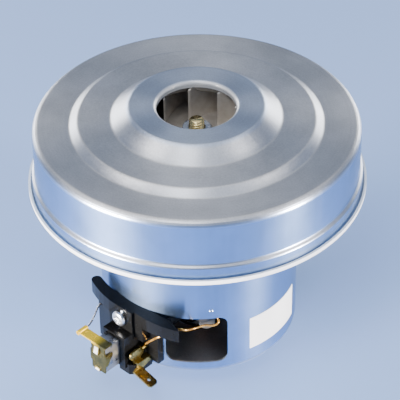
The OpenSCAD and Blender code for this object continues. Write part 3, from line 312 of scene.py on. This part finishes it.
def stripBrass(name, look):
    material, tree, skin = startMaterial(name, look["skin"])
    point = objectPoint(tree)
    axes = splitAxes(tree, point)
    side = maths(tree, "SIGN", axes["Y"])
    across = maths(tree, "MULTIPLY", axes["X"], side)      # grows towards the strap's end on both brackets
    patches = grain(tree, point, look["patchScale"], 4.0, 0.6)
    base = ramp(tree, patches, look["brown"], look["olive"])
    edge = look["maskEdge"]
    out = maths(tree, "ABSOLUTE", axes["Y"])
    # painted reflection: mask of the two tabs, coloured near white below
    proud = span(tree, out, 0, 1, look["tabFace"], look["tabFace"] + edge)
    low = span(tree, axes["Z"], 1, 0, look["tabTop"], look["tabTop"] + edge)
    aside = maths(tree, "ABSOLUTE", maths(tree, "SUBTRACT", across, look["tabMiddle"]))
    narrow = span(tree, aside, 1, 0, look["tabHalf"], look["tabHalf"] + edge)
    tab = maths(tree, "MULTIPLY", maths(tree, "MULTIPLY", proud, low), narrow)
    onTop = maths(tree, "SUBTRACT", 1.0, low)
    strap = maths(tree, "MULTIPLY", span(tree, across, 0, 1, *look["goldReach"]), onTop)
    gilt = maths(tree, "MAXIMUM", strap, span(tree, across, 0, 1, *look["endReach"]))
    color = blendColor(tree, tab, blendColor(tree, gilt, base, look["gold"]), look["tabReflectionColor"])
    tree.links.new(color, skin.inputs["Base Color"])
    bright = maths(tree, "MAXIMUM", gilt, tab)
    tree.links.new(span(tree, bright, 1.0, look["brightMetallic"]), skin.inputs["Metallic"])
    smooth, wearAndHighlight = (look["skin"]["Roughness"] + step for step in look["wear"])
    tree.links.new(span(tree, patches, smooth, wearAndHighlight, *noiseEnds), skin.inputs["Roughness"])
    fine = grain(tree, point, look["fineScale"], 2.0, 0.6)
    tree.links.new(relief(tree, fine, *look["bump"]), skin.inputs["Normal"])
    return material


# plain metals: metallic, roughness, dark and light colour, scale of the patches
plainMetals = {
    "zinc_plate": (1.0, 0.28, (0.60, 0.62, 0.64), (0.78, 0.79, 0.80), 300),
    "bearing_steel": (1.0, 0.16, (0.66, 0.66, 0.67), (0.78, 0.78, 0.79), 300),
    "impeller_sheet": (0.55, 0.42, (0.62, 0.56, 0.48), (0.76, 0.71, 0.64), 300),
    # painted shade: the shroud is a darker copy of the impeller sheet, for the shade inside the eye
    "shaded_impeller_shroud": (1.0, 0.42, (0.20, 0.20, 0.20), (0.32, 0.31, 0.30), 300),
    "olive_brass": (1.0, 0.27, (0.24, 0.18, 0.05), (0.46, 0.34, 0.10), 220),
    # painted dark reflection: the brush tubes are a darker copy of the zinc plate
    "shaded_tube_zinc": (1.0, 0.30, (0.25, 0.25, 0.25), (0.40, 0.40, 0.39), 300),
    "copper_lead": (0.8, 0.25, (0.66, 0.31, 0.06), (0.90, 0.50, 0.12), 260),
    "tinned_lead": (1.0, 0.26, (0.62, 0.60, 0.60), (0.82, 0.80, 0.80), 260),
    "gilded_stud": (1.0, 0.22, (0.72, 0.56, 0.24), (0.92, 0.76, 0.38), 240),
}
metalGrain = {"finer": 4, "wear": 0.08, "bump": (0.1, 0.0001)}


def plainMetal(name, metallic, rough, dark, light, scale):
    material, tree, skin = startMaterial(name, {"Metallic": metallic, "Roughness": rough})
    point = objectPoint(tree)
    fine = grain(tree, point, scale * metalGrain["finer"], 2.0, 0.6)
    patches = grain(tree, point, scale, 4.0, 0.6)
    tree.links.new(ramp(tree, patches, dark, light), skin.inputs["Base Color"])
    wear = metalGrain["wear"]
    tree.links.new(span(tree, patches, rough - wear, rough + wear, *noiseEnds), skin.inputs["Roughness"])
    tree.links.new(relief(tree, fine, *metalGrain["bump"]), skin.inputs["Normal"])
    return material


# plastics, carbon and paper: roughness, specular level, dark and light colour, scale and bump of the grain
plastics = {
    "black_moulding": (0.20, 0.14, (0.0025, 0.0025, 0.003), (0.006, 0.006, 0.006), 600, 0.02),
    "diffuser_moulding": (0.45, 0.5, (0.03, 0.03, 0.033), (0.05, 0.05, 0.052), 900, 0.05),
    "frame_moulding": (0.42, 0.5, (0.03, 0.028, 0.024), (0.06, 0.055, 0.045), 900, 0.05),
    "commutator_resin": (0.4, 0.5, (0.05, 0.022, 0.01), (0.09, 0.04, 0.02), 900, 0.05),
    "brush_carbon": (0.5, 0.5, (0.02, 0.02, 0.022), (0.06, 0.06, 0.062), 1800, 0.4),
    "label_film": (0.35, 0.5, (0.86, 0.85, 0.83), (0.93, 0.92, 0.90), 500, 0.03),
}
plasticGrain = {"flowSquash": 0.4, "flowScale": 60, "wear": (-0.05, 0.08), "depth": 0.0002}


def plastic(name, rough, specular, dark, light, scale, bump):
    material, tree, skin = startMaterial(name, {"Roughness": rough, "Specular IOR Level": specular})
    point = objectPoint(tree)
    fine = grain(tree, point, scale, 3.0, 0.6)
    drawn = stretch(tree, point, (1, 1, plasticGrain["flowSquash"]))
    flow = grain(tree, drawn, plasticGrain["flowScale"], 2.0)
    tree.links.new(ramp(tree, flow, dark, light), skin.inputs["Base Color"])
    smooth, wearAndHighlight = (rough + step for step in plasticGrain["wear"])
    tree.links.new(span(tree, fine, smooth, wearAndHighlight, *noiseEnds), skin.inputs["Roughness"])
    tree.links.new(relief(tree, fine, bump, plasticGrain["depth"]), skin.inputs["Normal"])
    return material


# layered pieces: metallic, roughness, dark and light colour, pitch of the layers in metres, bump
layered = {
    "winding_copper": (1.0, 0.32, (0.07, 0.03, 0.015), (0.34, 0.17, 0.09), 0.0007, 0.9),
    "commutator_copper": (1.0, 0.25, (0.55, 0.24, 0.12), (0.80, 0.42, 0.22), 0.0004, 0.2),
    "laminated_stack": (0.8, 0.45, (0.05, 0.05, 0.055), (0.17, 0.17, 0.18), 0.0005, 0.8),
}
layerGrain = {
    "waveScale": 0.314,      # a wave node's scale for a pitch of one metre
    "distortion": 0.6,
    "detailScale": 30,
    "ends": (0.1, 0.8),
    "depthShare": 0.4,
    "fineScale": 900,
    "fineBump": (0.1, 0.0001),
}


def banded(name, metallic, rough, dark, light, pitch, bump):
    material, tree, skin = startMaterial(name, {"Metallic": metallic, "Roughness": rough})
    point = objectPoint(tree)
    node = tree.nodes.new("ShaderNodeTexWave")
    node.wave_type = "BANDS"
    node.bands_direction = "Z"
    feed(tree, node, "Vector", point)
    node.inputs["Scale"].default_value = layerGrain["waveScale"] / pitch
    node.inputs["Distortion"].default_value = layerGrain["distortion"]
    node.inputs["Detail Scale"].default_value = layerGrain["detailScale"]
    layers = node.outputs["Fac"]
    tree.links.new(ramp(tree, layers, dark, light, layerGrain["ends"]), skin.inputs["Base Color"])
    fine = relief(tree, grain(tree, point, layerGrain["fineScale"]), *layerGrain["fineBump"])
    tree.links.new(relief(tree, layers, bump, pitch * layerGrain["depthShare"], fine), skin.inputs["Normal"])
    return material


materials = {
    "galvanised_steel": sheetSteel("galvanised_steel", steelLook),
    "strap_brass": stripBrass("strap_brass", strapLook),
}
for maker, table in ((plainMetal, plainMetals), (plastic, plastics), (banded, layered)):
    for name, look in table.items():
        materials[name] = maker(name, *look)

# which nodes each finish goes on
finishes = {
    "galvanised_steel": ["fan_cover", "motor_can"],
    "zinc_plate": [
        "bearing_bridge", "bridge_screws", "bracket_screws", "front_bearing_shields", "rear_bearing_shields",
        "impeller_spacer", "impeller_hub", "impeller_nut",
    ],
    "bearing_steel": [
        "front_bearing_outer", "rear_bearing_outer", "front_bearing_inner", "rear_bearing_inner",
        "front_bearing_balls", "rear_bearing_balls", "preload_washer", "shaft",
        "brush_spring_front", "brush_spring_rear",
    ],
    "impeller_sheet": ["impeller_back_plate", "impeller_blades"],
    "shaded_impeller_shroud": ["impeller_front_plate"],
    "olive_brass": ["terminal_front", "terminal_rear"],
    "strap_brass": ["brush_cap_front", "brush_cap_rear"],
    "shaded_tube_zinc": ["brush_tube_front", "brush_tube_rear"],
    "copper_lead": ["brush_shunt_front", "brush_shunt_rear", "field_lead_front", "field_lead_rear"],
    "tinned_lead": ["brush_lead_front", "brush_lead_rear"],
    "black_moulding": ["brush_bracket_front", "brush_bracket_rear"],
    "diffuser_moulding": ["diffuser"],
    "frame_moulding": ["coil_frame_lower", "coil_frame_upper"],
    "commutator_resin": ["commutator_hub"],
    "brush_carbon": ["carbon_brush_front", "carbon_brush_rear"],
    "label_film": ["rating_label"],
    "winding_copper": ["field_coil_left", "field_coil_right", "armature_winding"],
    "commutator_copper": ["commutator_bars"],
    "laminated_stack": ["field_core", "armature_core"],
}
for finish, group in finishes.items():
    for nodeName in group:
        mesh = nodes[nodeName].data
        if not mesh.materials:
            mesh.materials.append(materials[finish])
        for index in range(len(mesh.materials)):
            mesh.materials[index] = materials[finish]
print("finishes assigned:", len(materials), "materials")

# building helpers: points in millimetres, in the frame's own axes
millimetre = 0.001


def addPiece(name, points, faces, finish, body, slot, picks=None, turn=0):
    mesh = bpy.data.meshes.new(name)
    spin = Matrix.Rotation(math.radians(turn), 3, "Z")
    mesh.from_pydata([spin @ Vector(p) * millimetre for p in points], [], faces)
    for key in finish:
        mesh.materials.append(materials[key])
    for index, face in enumerate(mesh.polygons):
        face.use_smooth = True
        face.material_index = picks[index] if picks else 0
    mesh.validate()
    mesh.update()
    thing = bpy.data.objects.new(name, mesh)
    bpy.context.scene.collection.objects.link(thing)
    if body:
        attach(thing, body)
    return thing


# a smooth curve through given points
def throughPoints(route, steps):
    pts = [Vector(p) for p in route]
    pts = [pts[0] * 2 - pts[1], *pts, pts[-1] * 2 - pts[-2]]
    out = []
    for i in range(1, len(pts) - 2):
        a, b, c, d = pts[i - 1:i + 3]
        for k in range(steps):
            t = k / steps
            bend = (2 * a - 5 * b + 4 * c - d) * t * t + (3 * b - a - 3 * c + d) * t * t * t
            out.append(0.5 * (2 * b + (c - a) * t + bend))
    out.append(pts[-2])
    return out


# frames carried along the line without twist: place, across, up
def carriedFrames(line):
    ahead = (line[1] - line[0]).normalized()
    across = ahead.orthogonal().normalized()
    frames = []
    for i, spot in enumerate(line):
        ahead = (line[min(i + 1, len(line) - 1)] - line[max(i - 1, 0)]).normalized()
        across = (across - ahead * across.dot(ahead)).normalized()
        frames.append((spot, across, ahead.cross(across)))
    return frames


def sweep(line, size, sides):
    points = []
    faces = []
    for spot, across, up in carriedFrames(line):
        for k in range(sides):
            a = math.tau * k / sides
            points.append(spot + (across * math.cos(a) + up * math.sin(a)) * size)
    for i in range(len(line) - 1):
        for k in range(sides):
            n = (k + 1) % sides
            here = i * sides
            faces.append((here + k, here + n, here + sides + n, here + sides + k))
    faces.append(tuple(reversed(range(sides))))
    faces.append(tuple(range(len(points) - sides, len(points))))
    return points, faces


# several strands laid round one line
def twisted(line, strands, offset, pitch, size, sides):
    frames = carriedFrames(line)
    points = []
    faces = []
    for s in range(strands):
        travelled = 0
        strand = []
        for i, (spot, across, up) in enumerate(frames):
            travelled += (spot - frames[max(i - 1, 0)][0]).length
            a = math.tau * (travelled / pitch + s / strands)
            strand.append(spot + (across * math.cos(a) + up * math.sin(a)) * offset)
        addShell(points, faces, sweep(strand, size, sides))
    return points, faces


# a surface of rings, where rings is a list of equal lists of points
def ringSurface(rings, closeStart, closeEnd):
    sides = len(rings[0])
    points = [p for ring in rings for p in ring]
    faces = []
    for i in range(len(rings) - 1):
        for k in range(sides):
            n = (k + 1) % sides
            faces.append((i * sides + k, i * sides + n, (i + 1) * sides + n, (i + 1) * sides + k))
    if closeStart:
        faces.append(tuple(reversed(range(sides))))
    if closeEnd:
        faces.append(tuple(range(len(points) - sides, len(points))))
    return points, faces


def boxOf(name):
    low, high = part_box(name)
    return Vector(low) / millimetre, Vector(high) / millimetre


def ring(r, z, sides):
    return [(r * math.cos(math.tau * k / sides), r * math.sin(math.tau * k / sides), z) for k in range(sides)]


def flatShaded(thing, angle):
    split = thing.modifiers.new("crease", "EDGE_SPLIT")
    split.split_angle = math.radians(angle)


# adds one closed shell to a mesh that is being gathered
def addShell(points, faces, shell):
    begin = len(points)
    points.extend(shell[0])
    faces.extend(tuple(begin + v for v in face) for face in shell[1])


# shaft with its cut thread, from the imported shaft's own ends
shaftSizes = {
    "radius": 4.0,
    "chamfer": 0.6,
    "threadRadius": 3.1,
    "pitch": 1.0,
    "threadDepth": 0.62,
    "rise": 0.85,
    "sides": 64,
    "stepsPerTurn": 12,
    "grooveWidth": 1.25,
}


def makeShaft(sizes):
    low, high = boxOf("shaft")
    seatHeight = boxOf("impeller_back_plate")[0].z
    nutTop = boxOf("impeller_nut")[1].z
    bottom = low.z
    top = high.z + sizes["rise"]
    profile = [
        (sizes["radius"] - sizes["chamfer"], bottom), (sizes["radius"], bottom + sizes["chamfer"]),
        (sizes["radius"], seatHeight), (sizes["threadRadius"], seatHeight),
    ]
    rings = [ring(r, z, sizes["sides"]) for r, z in profile]
    rise = sizes["pitch"] / sizes["stepsPerTurn"]
    count = int((top - nutTop + sizes["pitch"]) / rise)
    start = top - count * rise
    for i in range(count + 1):
        level = start + rise * i
        row = []
        for k in range(sizes["sides"]):
            a = math.tau * k / sizes["sides"]
            phase = (level / sizes["pitch"] - k / sizes["sides"]) % 1
            groove = 1 - abs(2 * phase - 1)
            full = sizes["threadRadius"] - sizes["threadDepth"] * min(1, groove * sizes["grooveWidth"])
            run = max(0, level - (top - sizes["chamfer"]))
            r = min(full, sizes["threadRadius"] - run)
            row.append((r * math.cos(a), r * math.sin(a), level))
        rings.append(row)
    points, faces = ringSurface(rings, True, True)
    picks = [0 if i < len(profile) * sizes["sides"] else 1 for i in range(len(faces))]
    picks[-2] = 0      # the face at the bottom is plain steel
    finish = ["bearing_steel", "gilded_stud"]
    thing = addPiece("threaded_shaft", points, faces, finish, "rotor", "bearing_steel", picks)
    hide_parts("shaft")
    print("shaft made")


# hexagon nut with chamfered corners and a countersunk bore
nutSizes = {
    "flatHalf": 5.7,
    "height": 6.4,
    "bore": 3.0,
    "countersink": 0.6,
    "cornerCut": 0.25,
    "topInset": 0.25,
    "chamferRise": 1.1,
    "chamferSteps": 5,
    "chamferSlope": 1.7,
    "footRise": 0.2,
    "footCut": 0.4,
    "sides": 96,
    "crease": 30,
}


def makeNut(sizes):
    bottom = boxOf("impeller_nut")[0].z
    top = bottom + sizes["height"]
    rise = sizes["chamferRise"]
    steps = sizes["chamferSteps"]
    levels = [(bottom, sizes["footCut"]), (bottom + sizes["footRise"], 0)]
    levels += [(top - rise + rise * i / steps, 0) for i in range(steps + 1)]
    limit = sizes["flatHalf"] / math.cos(math.pi / 6) - sizes["cornerCut"]
    rings = [ring(sizes["bore"], bottom, sizes["sides"])]
    for level, cut in levels:
        row = []
        for k in range(sizes["sides"]):
            a = math.tau * k / sizes["sides"]
            flat = sizes["flatHalf"] / math.cos(a % (math.pi / 3) - math.pi / 6)
            slope = sizes["flatHalf"] - sizes["topInset"] + (top - level) * sizes["chamferSlope"]
            r = min(flat, limit, slope) - cut
            row.append((r * math.cos(a), r * math.sin(a), level))
        rings.append(row)
    rings.append(ring(sizes["bore"] + sizes["countersink"], top, sizes["sides"]))
    rings.append(ring(sizes["bore"], top - sizes["countersink"], sizes["sides"]))
    rings.append(ring(sizes["bore"], bottom, sizes["sides"]))
    thing = addPiece("hex_nut", *ringSurface(rings, False, False), ["zinc_plate"], "rotor", "zinc_steel")
    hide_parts("impeller_nut")
    flatShaded(thing, sizes["crease"])
    print("nut made")


# thin spiral blades, raised inside the eye up to the lip
bladeSizes = {
    "count": 8,
    "phase": 9.5,
    "startRadius": 15.4,
    "lean": 40,
    "thickness": 0.6,
    "crease": 40,
    # upper edge: radius and height
    "edge": [
        (15.4, 111.3), (15.8, 111.7), (16.4, 111.75), (17.15, 111.75), (17.4, 110.1), (18.0, 109.0),
        (19.3, 108.3), (21.5, 107.8), (24, 107.2), (27, 106.5), (30, 105.8), (33, 105.1), (37, 104.4),
        (42, 103.5), (47, 102.6), (52, 101.9), (58.9, 100.9),
    ],
}


def makeBlades(sizes):
    low = boxOf("impeller_blades")[0]
    points = []
    faces = []
    start = sizes["startRadius"]
    lean = math.radians(sizes["lean"])
    for blade in range(sizes["count"]):
        turn = math.radians(sizes["phase"] + 360 / sizes["count"] * blade)
        rows = []
        for r, level in sizes["edge"]:
            a = turn - math.log(r / start) / math.tan(lean)
            half = sizes["thickness"] / 2 / (r * math.sin(lean))
            row = []
            for b, z in ((a + half, low.z), (a - half, low.z), (a - half, level), (a + half, level)):
                row.append((r * math.cos(b), r * math.sin(b), z))
            rows.append(row)
        addShell(points, faces, ringSurface(rows, True, True))
    thing = addPiece("swept_blades", points, faces, ["impeller_sheet"], "rotor", "impeller_aluminium")
    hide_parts("impeller_blades")
    flatShaded(thing, sizes["crease"])
    print("blades made")


# small pins beside the screw on each bracket's panel
pinSizes = {
    "face": 46.0,
    # across, height, radius, stand-off
    "spots": [(1.0, 37.8, 0.85, 0.55), (-1.2, 30.6, 0.45, 0.35)],
    "sides": 24,
    "rings": 6,
}


def makePins(sizes):
    points = []
    faces = []
    for across, level, r, proud in sizes["spots"]:
        rows = []
        for i in range(sizes["rings"]):
            a = math.pi / 2 * i / sizes["rings"]
            row = []
            for k in range(sizes["sides"]):
                b = -math.tau * k / sizes["sides"]
                out = -sizes["face"] - proud * math.sin(a)
                reach = r * math.cos(a)
                row.append((across + reach * math.cos(b), out, level + reach * math.sin(b)))
            rows.append(row)
        addShell(points, faces, ringSurface(rows, True, True))
    for side, name in enumerate(sideNames):
        turn = 180 * side
        addPiece("panel_pins_" + name, points, faces, ["zinc_plate"], "housing", "zinc_steel", None, turn)
    print("pins made")


# pan head with a cross recess, and the shank behind it
screwSizes = {
    "radius": 3.35,
    "height": 2.2,
    "edge": 1.1,
    "shank": 1.75,
    "shankLength": 11.4,
    "armHalfWidth": 0.55,
    "armReach": 1.9,
    "recess": 1.1,
    "recessRise": 0.6,
    "flank": 0.2,
    "flankStart": 0.4,
    "domePower": 3,
    "rings": 30,
    "sides": 96,
}


def makeScrews(sizes):
    low, high = boxOf("bracket_screws")
    middle = (low + high) / 2
    faceAt = -low.y - sizes["height"]
    rings = []
    for level, r in ((-sizes["shankLength"], sizes["shank"]), (0, sizes["shank"]), (0, sizes["radius"])):
        rings.append(headRing(r, level, sizes))
    for i in range(sizes["rings"]):
        r = sizes["radius"] * (1 - i / sizes["rings"])
        rings.append(headRing(r, None, sizes))
    points, faces = ringSurface(rings, True, True)
    for side, name in enumerate(sideNames):
        placed = [(p[0], -(faceAt + p[2]), middle.z + p[1]) for p in points]
        thing = addPiece(
            "bracket_screw_" + name, placed, faces, ["zinc_plate"], "housing", "zinc_steel", None, 180 * side
        )
        if side == 0:
            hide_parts("bracket_screws")
    print("screws made")


def headRing(r, level, sizes):
    row = []
    for k in range(sizes["sides"]):
        a = -math.tau * k / sizes["sides"]
        x = r * math.cos(a)
        y = r * math.sin(a)
        z = level if level is not None else headHeight(x, y, r, sizes)
        row.append((x, y, z))
    return row


def headHeight(x, y, r, sizes):
    share = r / sizes["radius"]
    crown = math.sqrt(max(0, 1 - share ** sizes["domePower"]))
    dome = sizes["edge"] + (sizes["height"] - sizes["edge"]) * crown
    depth = 0
    for u, v in ((x, y), (y, x)):
        inside = min(sizes["armHalfWidth"] - abs(u), sizes["armReach"] - abs(v))
        cut = min(1, max(0, inside / sizes["flank"] + sizes["flankStart"]))
        rise = 1 - abs(v) / sizes["armReach"] * sizes["recessRise"]
        depth = max(depth, cut * sizes["recess"] * rise)
    return dome - depth


# leads: the same listed points as the part's own, from the can's face and the brush's centre line
leadSizes = {
    "canRadius": 40.6,
    "tubeReach": 58.8,
    "fieldRadius": 0.45,
    "strandRadius": 0.22,
    "strandOffset": 0.2,
    "strandPitch": 2.6,
    "strands": 3,
    "fieldSteps": 8,
    "brushSteps": 12,
    "fieldSides": 14,
    "strandSides": 10,
}
fieldRoute = [
    (8.8, -3, 0.1), (8.8, -1, 0.5), (10, -0.7, 2), (11.6, -0.6, 3.8), (13.6, -0.6, 6),
    (15.2, -1, 7.8), (16.8, -1.2, 9.4), (18.4, -0.2, 10.6), (20, 1.6, 11.6), (21.5, 3.2, 13),
    (24, 3.4, 15), (26.4, 3.4, 16.2), (27.2, 5.2, 15.4), (26.2, 9.2, 12.8), (27.5, 12.8, 12.7),
    (28.6, 14.8, 12.5), (29.6, 16, 12.2), (30.8, 17.4, 12.3), (31.4, 18.6, 13.2), (30.6, 19.4, 14.5),
    (29.4, 19.2, 15.4), (28.2, 17.9, 15.8), (27, 16.4, 15.9),
]
brushRoute = [
    (-11, 0.813, 6.8), (-11.3, 0.747, 6.4), (-12.2, 0.626, 5.8), (-13.2, 0.495, 5.8), (-14.2, 0.363, 6.4),
    (-15, 0.253, 7.4), (-15.4, 0.176, 8.3), (-15.5, 0.11, 8.9),
]


def makeLeads(sizes):
    tube = boxOf("brush_tube_front")
    brushHeight = (tube[0].z + tube[1].z) / 2
    can = sizes["canRadius"]
    reach = sizes["tubeReach"] - can
    fieldLine = throughPoints([(x, y - can, z + brushHeight) for x, y, z in fieldRoute], sizes["fieldSteps"])
    brushPoints = [(x, -can - y * reach, z + brushHeight) for x, y, z in brushRoute]
    brushLine = throughPoints(brushPoints, sizes["brushSteps"])
    fieldMesh = sweep(fieldLine, sizes["fieldRadius"], sizes["fieldSides"])
    brushMesh = twisted(
        brushLine, sizes["strands"], sizes["strandOffset"], sizes["strandPitch"],
        sizes["strandRadius"], sizes["strandSides"]
    )
    for side, name in enumerate(sideNames):
        turn = 180 * side
        lead = addPiece(
            "copper_lead_" + name, *fieldMesh, ["copper_lead"], "housing", "copper_wire", None, turn
        )
        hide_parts("field_lead_" + name)
        braid = addPiece(
            "twisted_lead_" + name, *brushMesh, ["tinned_lead"], "housing", "tinned_wire", None, turn
        )
        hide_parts("brush_lead_" + name)
    print("leads made")


# coil springs and braids behind the brushes
springSizes = {
    "wire": 0.25,
    "turns": 8,
    "closedTurns": 1.2,
    "strandRadius": 0.16,
    "strandOffset": 0.16,
    "strandPitch": 3.0,
    "strands": 3,
    "wave": 0.3,
    "waveSteps": 40,
    "endGap": 0.1,
    "closedPitch": 2.1,      # of a closed turn, in wire radii
    "stepsPerTurn": 28,
    "wireSides": 10,
    "strandSides": 8,
}


def coilLine(sizes, near, far):
    low, high = boxOf("brush_spring_front")
    middle = (low + high) / 2
    coil = (high.z - low.z) / 2 - sizes["wire"]
    lead = sizes["closedTurns"] / sizes["turns"]
    flat = sizes["closedPitch"] * sizes["wire"] * sizes["closedTurns"]
    count = sizes["stepsPerTurn"] * sizes["turns"]
    line = []
    for i in range(count + 1):
        t = i / count
        rise = min(1, max(0, (t - lead) / (1 - 2 * lead)))
        share = flat * min(t, lead) / lead + flat * max(0, t - 1 + lead) / lead
        y = near + (share + rise * (near - far - 2 * flat)) * -1
        a = math.tau * sizes["turns"] * t
        line.append(Vector((coil * math.cos(a), y, middle.z + coil * math.sin(a))))
    return line


def braidLine(sizes):
    low, high = boxOf("brush_spring_front")
    middle = (low + high) / 2
    braidLow, braidHigh = boxOf("brush_shunt_front")
    edge = sizes["strandRadius"] + sizes["endGap"]
    top = braidHigh.y - edge
    bottom = braidLow.y + edge
    line = []
    for i in range(sizes["waveSteps"] + 1):
        t = i / sizes["waveSteps"]
        line.append(Vector((sizes["wave"] * math.sin(math.tau * t), top + (bottom - top) * t, middle.z)))
    return line


def makeSprings(sizes):
    low, high = boxOf("brush_spring_front")
    near = high.y - sizes["wire"]
    far = low.y + sizes["wire"]
    springMesh = sweep(coilLine(sizes, near, far), sizes["wire"], sizes["wireSides"])
    braidMesh = twisted(
        braidLine(sizes), sizes["strands"], sizes["strandOffset"], sizes["strandPitch"],
        sizes["strandRadius"], sizes["strandSides"]
    )
    kinds = (
        ("coil_spring_", "brush_spring_", springMesh, "bearing_steel", "bearing_steel"),
        ("braided_shunt_", "brush_shunt_", braidMesh, "copper_lead", "copper_wire"),
    )
    for side, name in enumerate(sideNames):
        for kind, solid, mesh, finish, slot in kinds:
            thing = addPiece(kind + name, *mesh, [finish], None, slot, None, 180 * side)
            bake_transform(thing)
            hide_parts(solid + name)
    print("springs made")


makeShaft(shaftSizes)
makeSprings(springSizes)
makeNut(nutSizes)
makeBlades(bladeSizes)
makePins(pinSizes)
makeScrews(screwSizes)
makeLeads(leadSizes)

# small rounded edges on the moulded and pressed pieces
softEdges = {
    "brush_bracket_front": 0.22, "brush_bracket_rear": 0.22,
    "brush_tube_front": 0.18, "brush_tube_rear": 0.18,
    "brush_cap_front": 0.12, "brush_cap_rear": 0.12, "terminal_front": 0.12, "terminal_rear": 0.12,
    "coil_frame_lower": 0.2, "coil_frame_upper": 0.2, "motor_can": 0.28, "fan_cover": 0.38,
}
edgeSegments = 2
edgeAngle = 50      # degrees, sharper corners than this are rounded
for nodeName, width in softEdges.items():
    edge = nodes[nodeName].modifiers.new("soft_edge", "BEVEL")
    edge.width = width * millimetre
    edge.segments = edgeSegments
    edge.limit_method = "ANGLE"
    edge.angle_limit = math.radians(edgeAngle)
    edge.harden_normals = True
print("edges softened")

# pale floor and soft light
studio = {
    "floorTint": (0.28, 0.44, 0.80),
    "floorSize": 6.0,
    "floorRoughness": 0.75,
    "floorFade": 0.98,
    "floorGrain": (3.0, 2.0),
    "aim": (0, 0, 0.06),
    "air": (0.42, 0.57, 0.90),
    "airStrength": 0.40,
    # name: azimuth from the camera's own side, height, distance, width, tall, power, warmth
    "lamps": {
        "overhead": (0, 1.4, 0.05, 2.0, 2.0, 11.5, 0.95),
        "key": (-20, 1.1, 0.55, 0.4, 0.4, 3.5, 0.95),
        "left_screen": (-56, 0.08, 0.80, 0.32, 0.13, 48, 0.86),
        "right_screen": (59, 0.08, 0.80, 0.15, 0.13, 24, 0.86),
        "far_left": (-142, 0.22, 0.95, 0.5, 0.30, 5.5, 0.95),
        "far_right": (142, 0.22, 0.95, 0.5, 0.30, 5.5, 0.95),
    },
}


def makeFloor(look):
    half = look["floorSize"] / 2
    mesh = bpy.data.meshes.new("floor")
    corners = [(-half, -half, 0), (half, -half, 0), (half, half, 0), (-half, half, 0)]
    mesh.from_pydata(corners, [], [(0, 1, 2, 3)])
    floor = bpy.data.objects.new("floor", mesh)
    bpy.context.scene.collection.objects.link(floor)
    material, tree, skin = startMaterial("pale_floor", {"Roughness": look["floorRoughness"]})
    tint = look["floorTint"]
    patches = grain(tree, objectPoint(tree), *look["floorGrain"])
    faded = tuple(c * look["floorFade"] for c in tint)
    tree.links.new(ramp(tree, patches, faded, tint), skin.inputs["Base Color"])
    mesh.materials.append(material)


def makeLights(look):
    world = bpy.data.worlds.new("studio")
    bpy.context.scene.world = world
    world.use_nodes = True
    back = world.node_tree.nodes["Background"]
    back.inputs[0].default_value = (*look["air"], 1)
    back.inputs[1].default_value = look["airStrength"]
    for name, (turn, height, away, wide, tall, power, warmth) in look["lamps"].items():
        lamp = bpy.data.lights.new(name, "AREA")
        lamp.shape = "RECTANGLE"
        lamp.size = wide
        lamp.size_y = tall
        lamp.energy = power
        lamp.color = (1.0, 0.5 + warmth / 2, warmth)
        thing = bpy.data.objects.new(name, lamp)
        bpy.context.scene.collection.objects.link(thing)
        angle = math.radians(camera["azimuth"] + turn)
        spot = Vector((math.sin(angle) * away, -math.cos(angle) * away, height))
        thing.location = spot
        thing.rotation_euler = (Vector(look["aim"]) - spot).to_track_quat("-Z", "Y").to_euler()


makeFloor(studio)
makeLights(studio)
print("floor and light set")
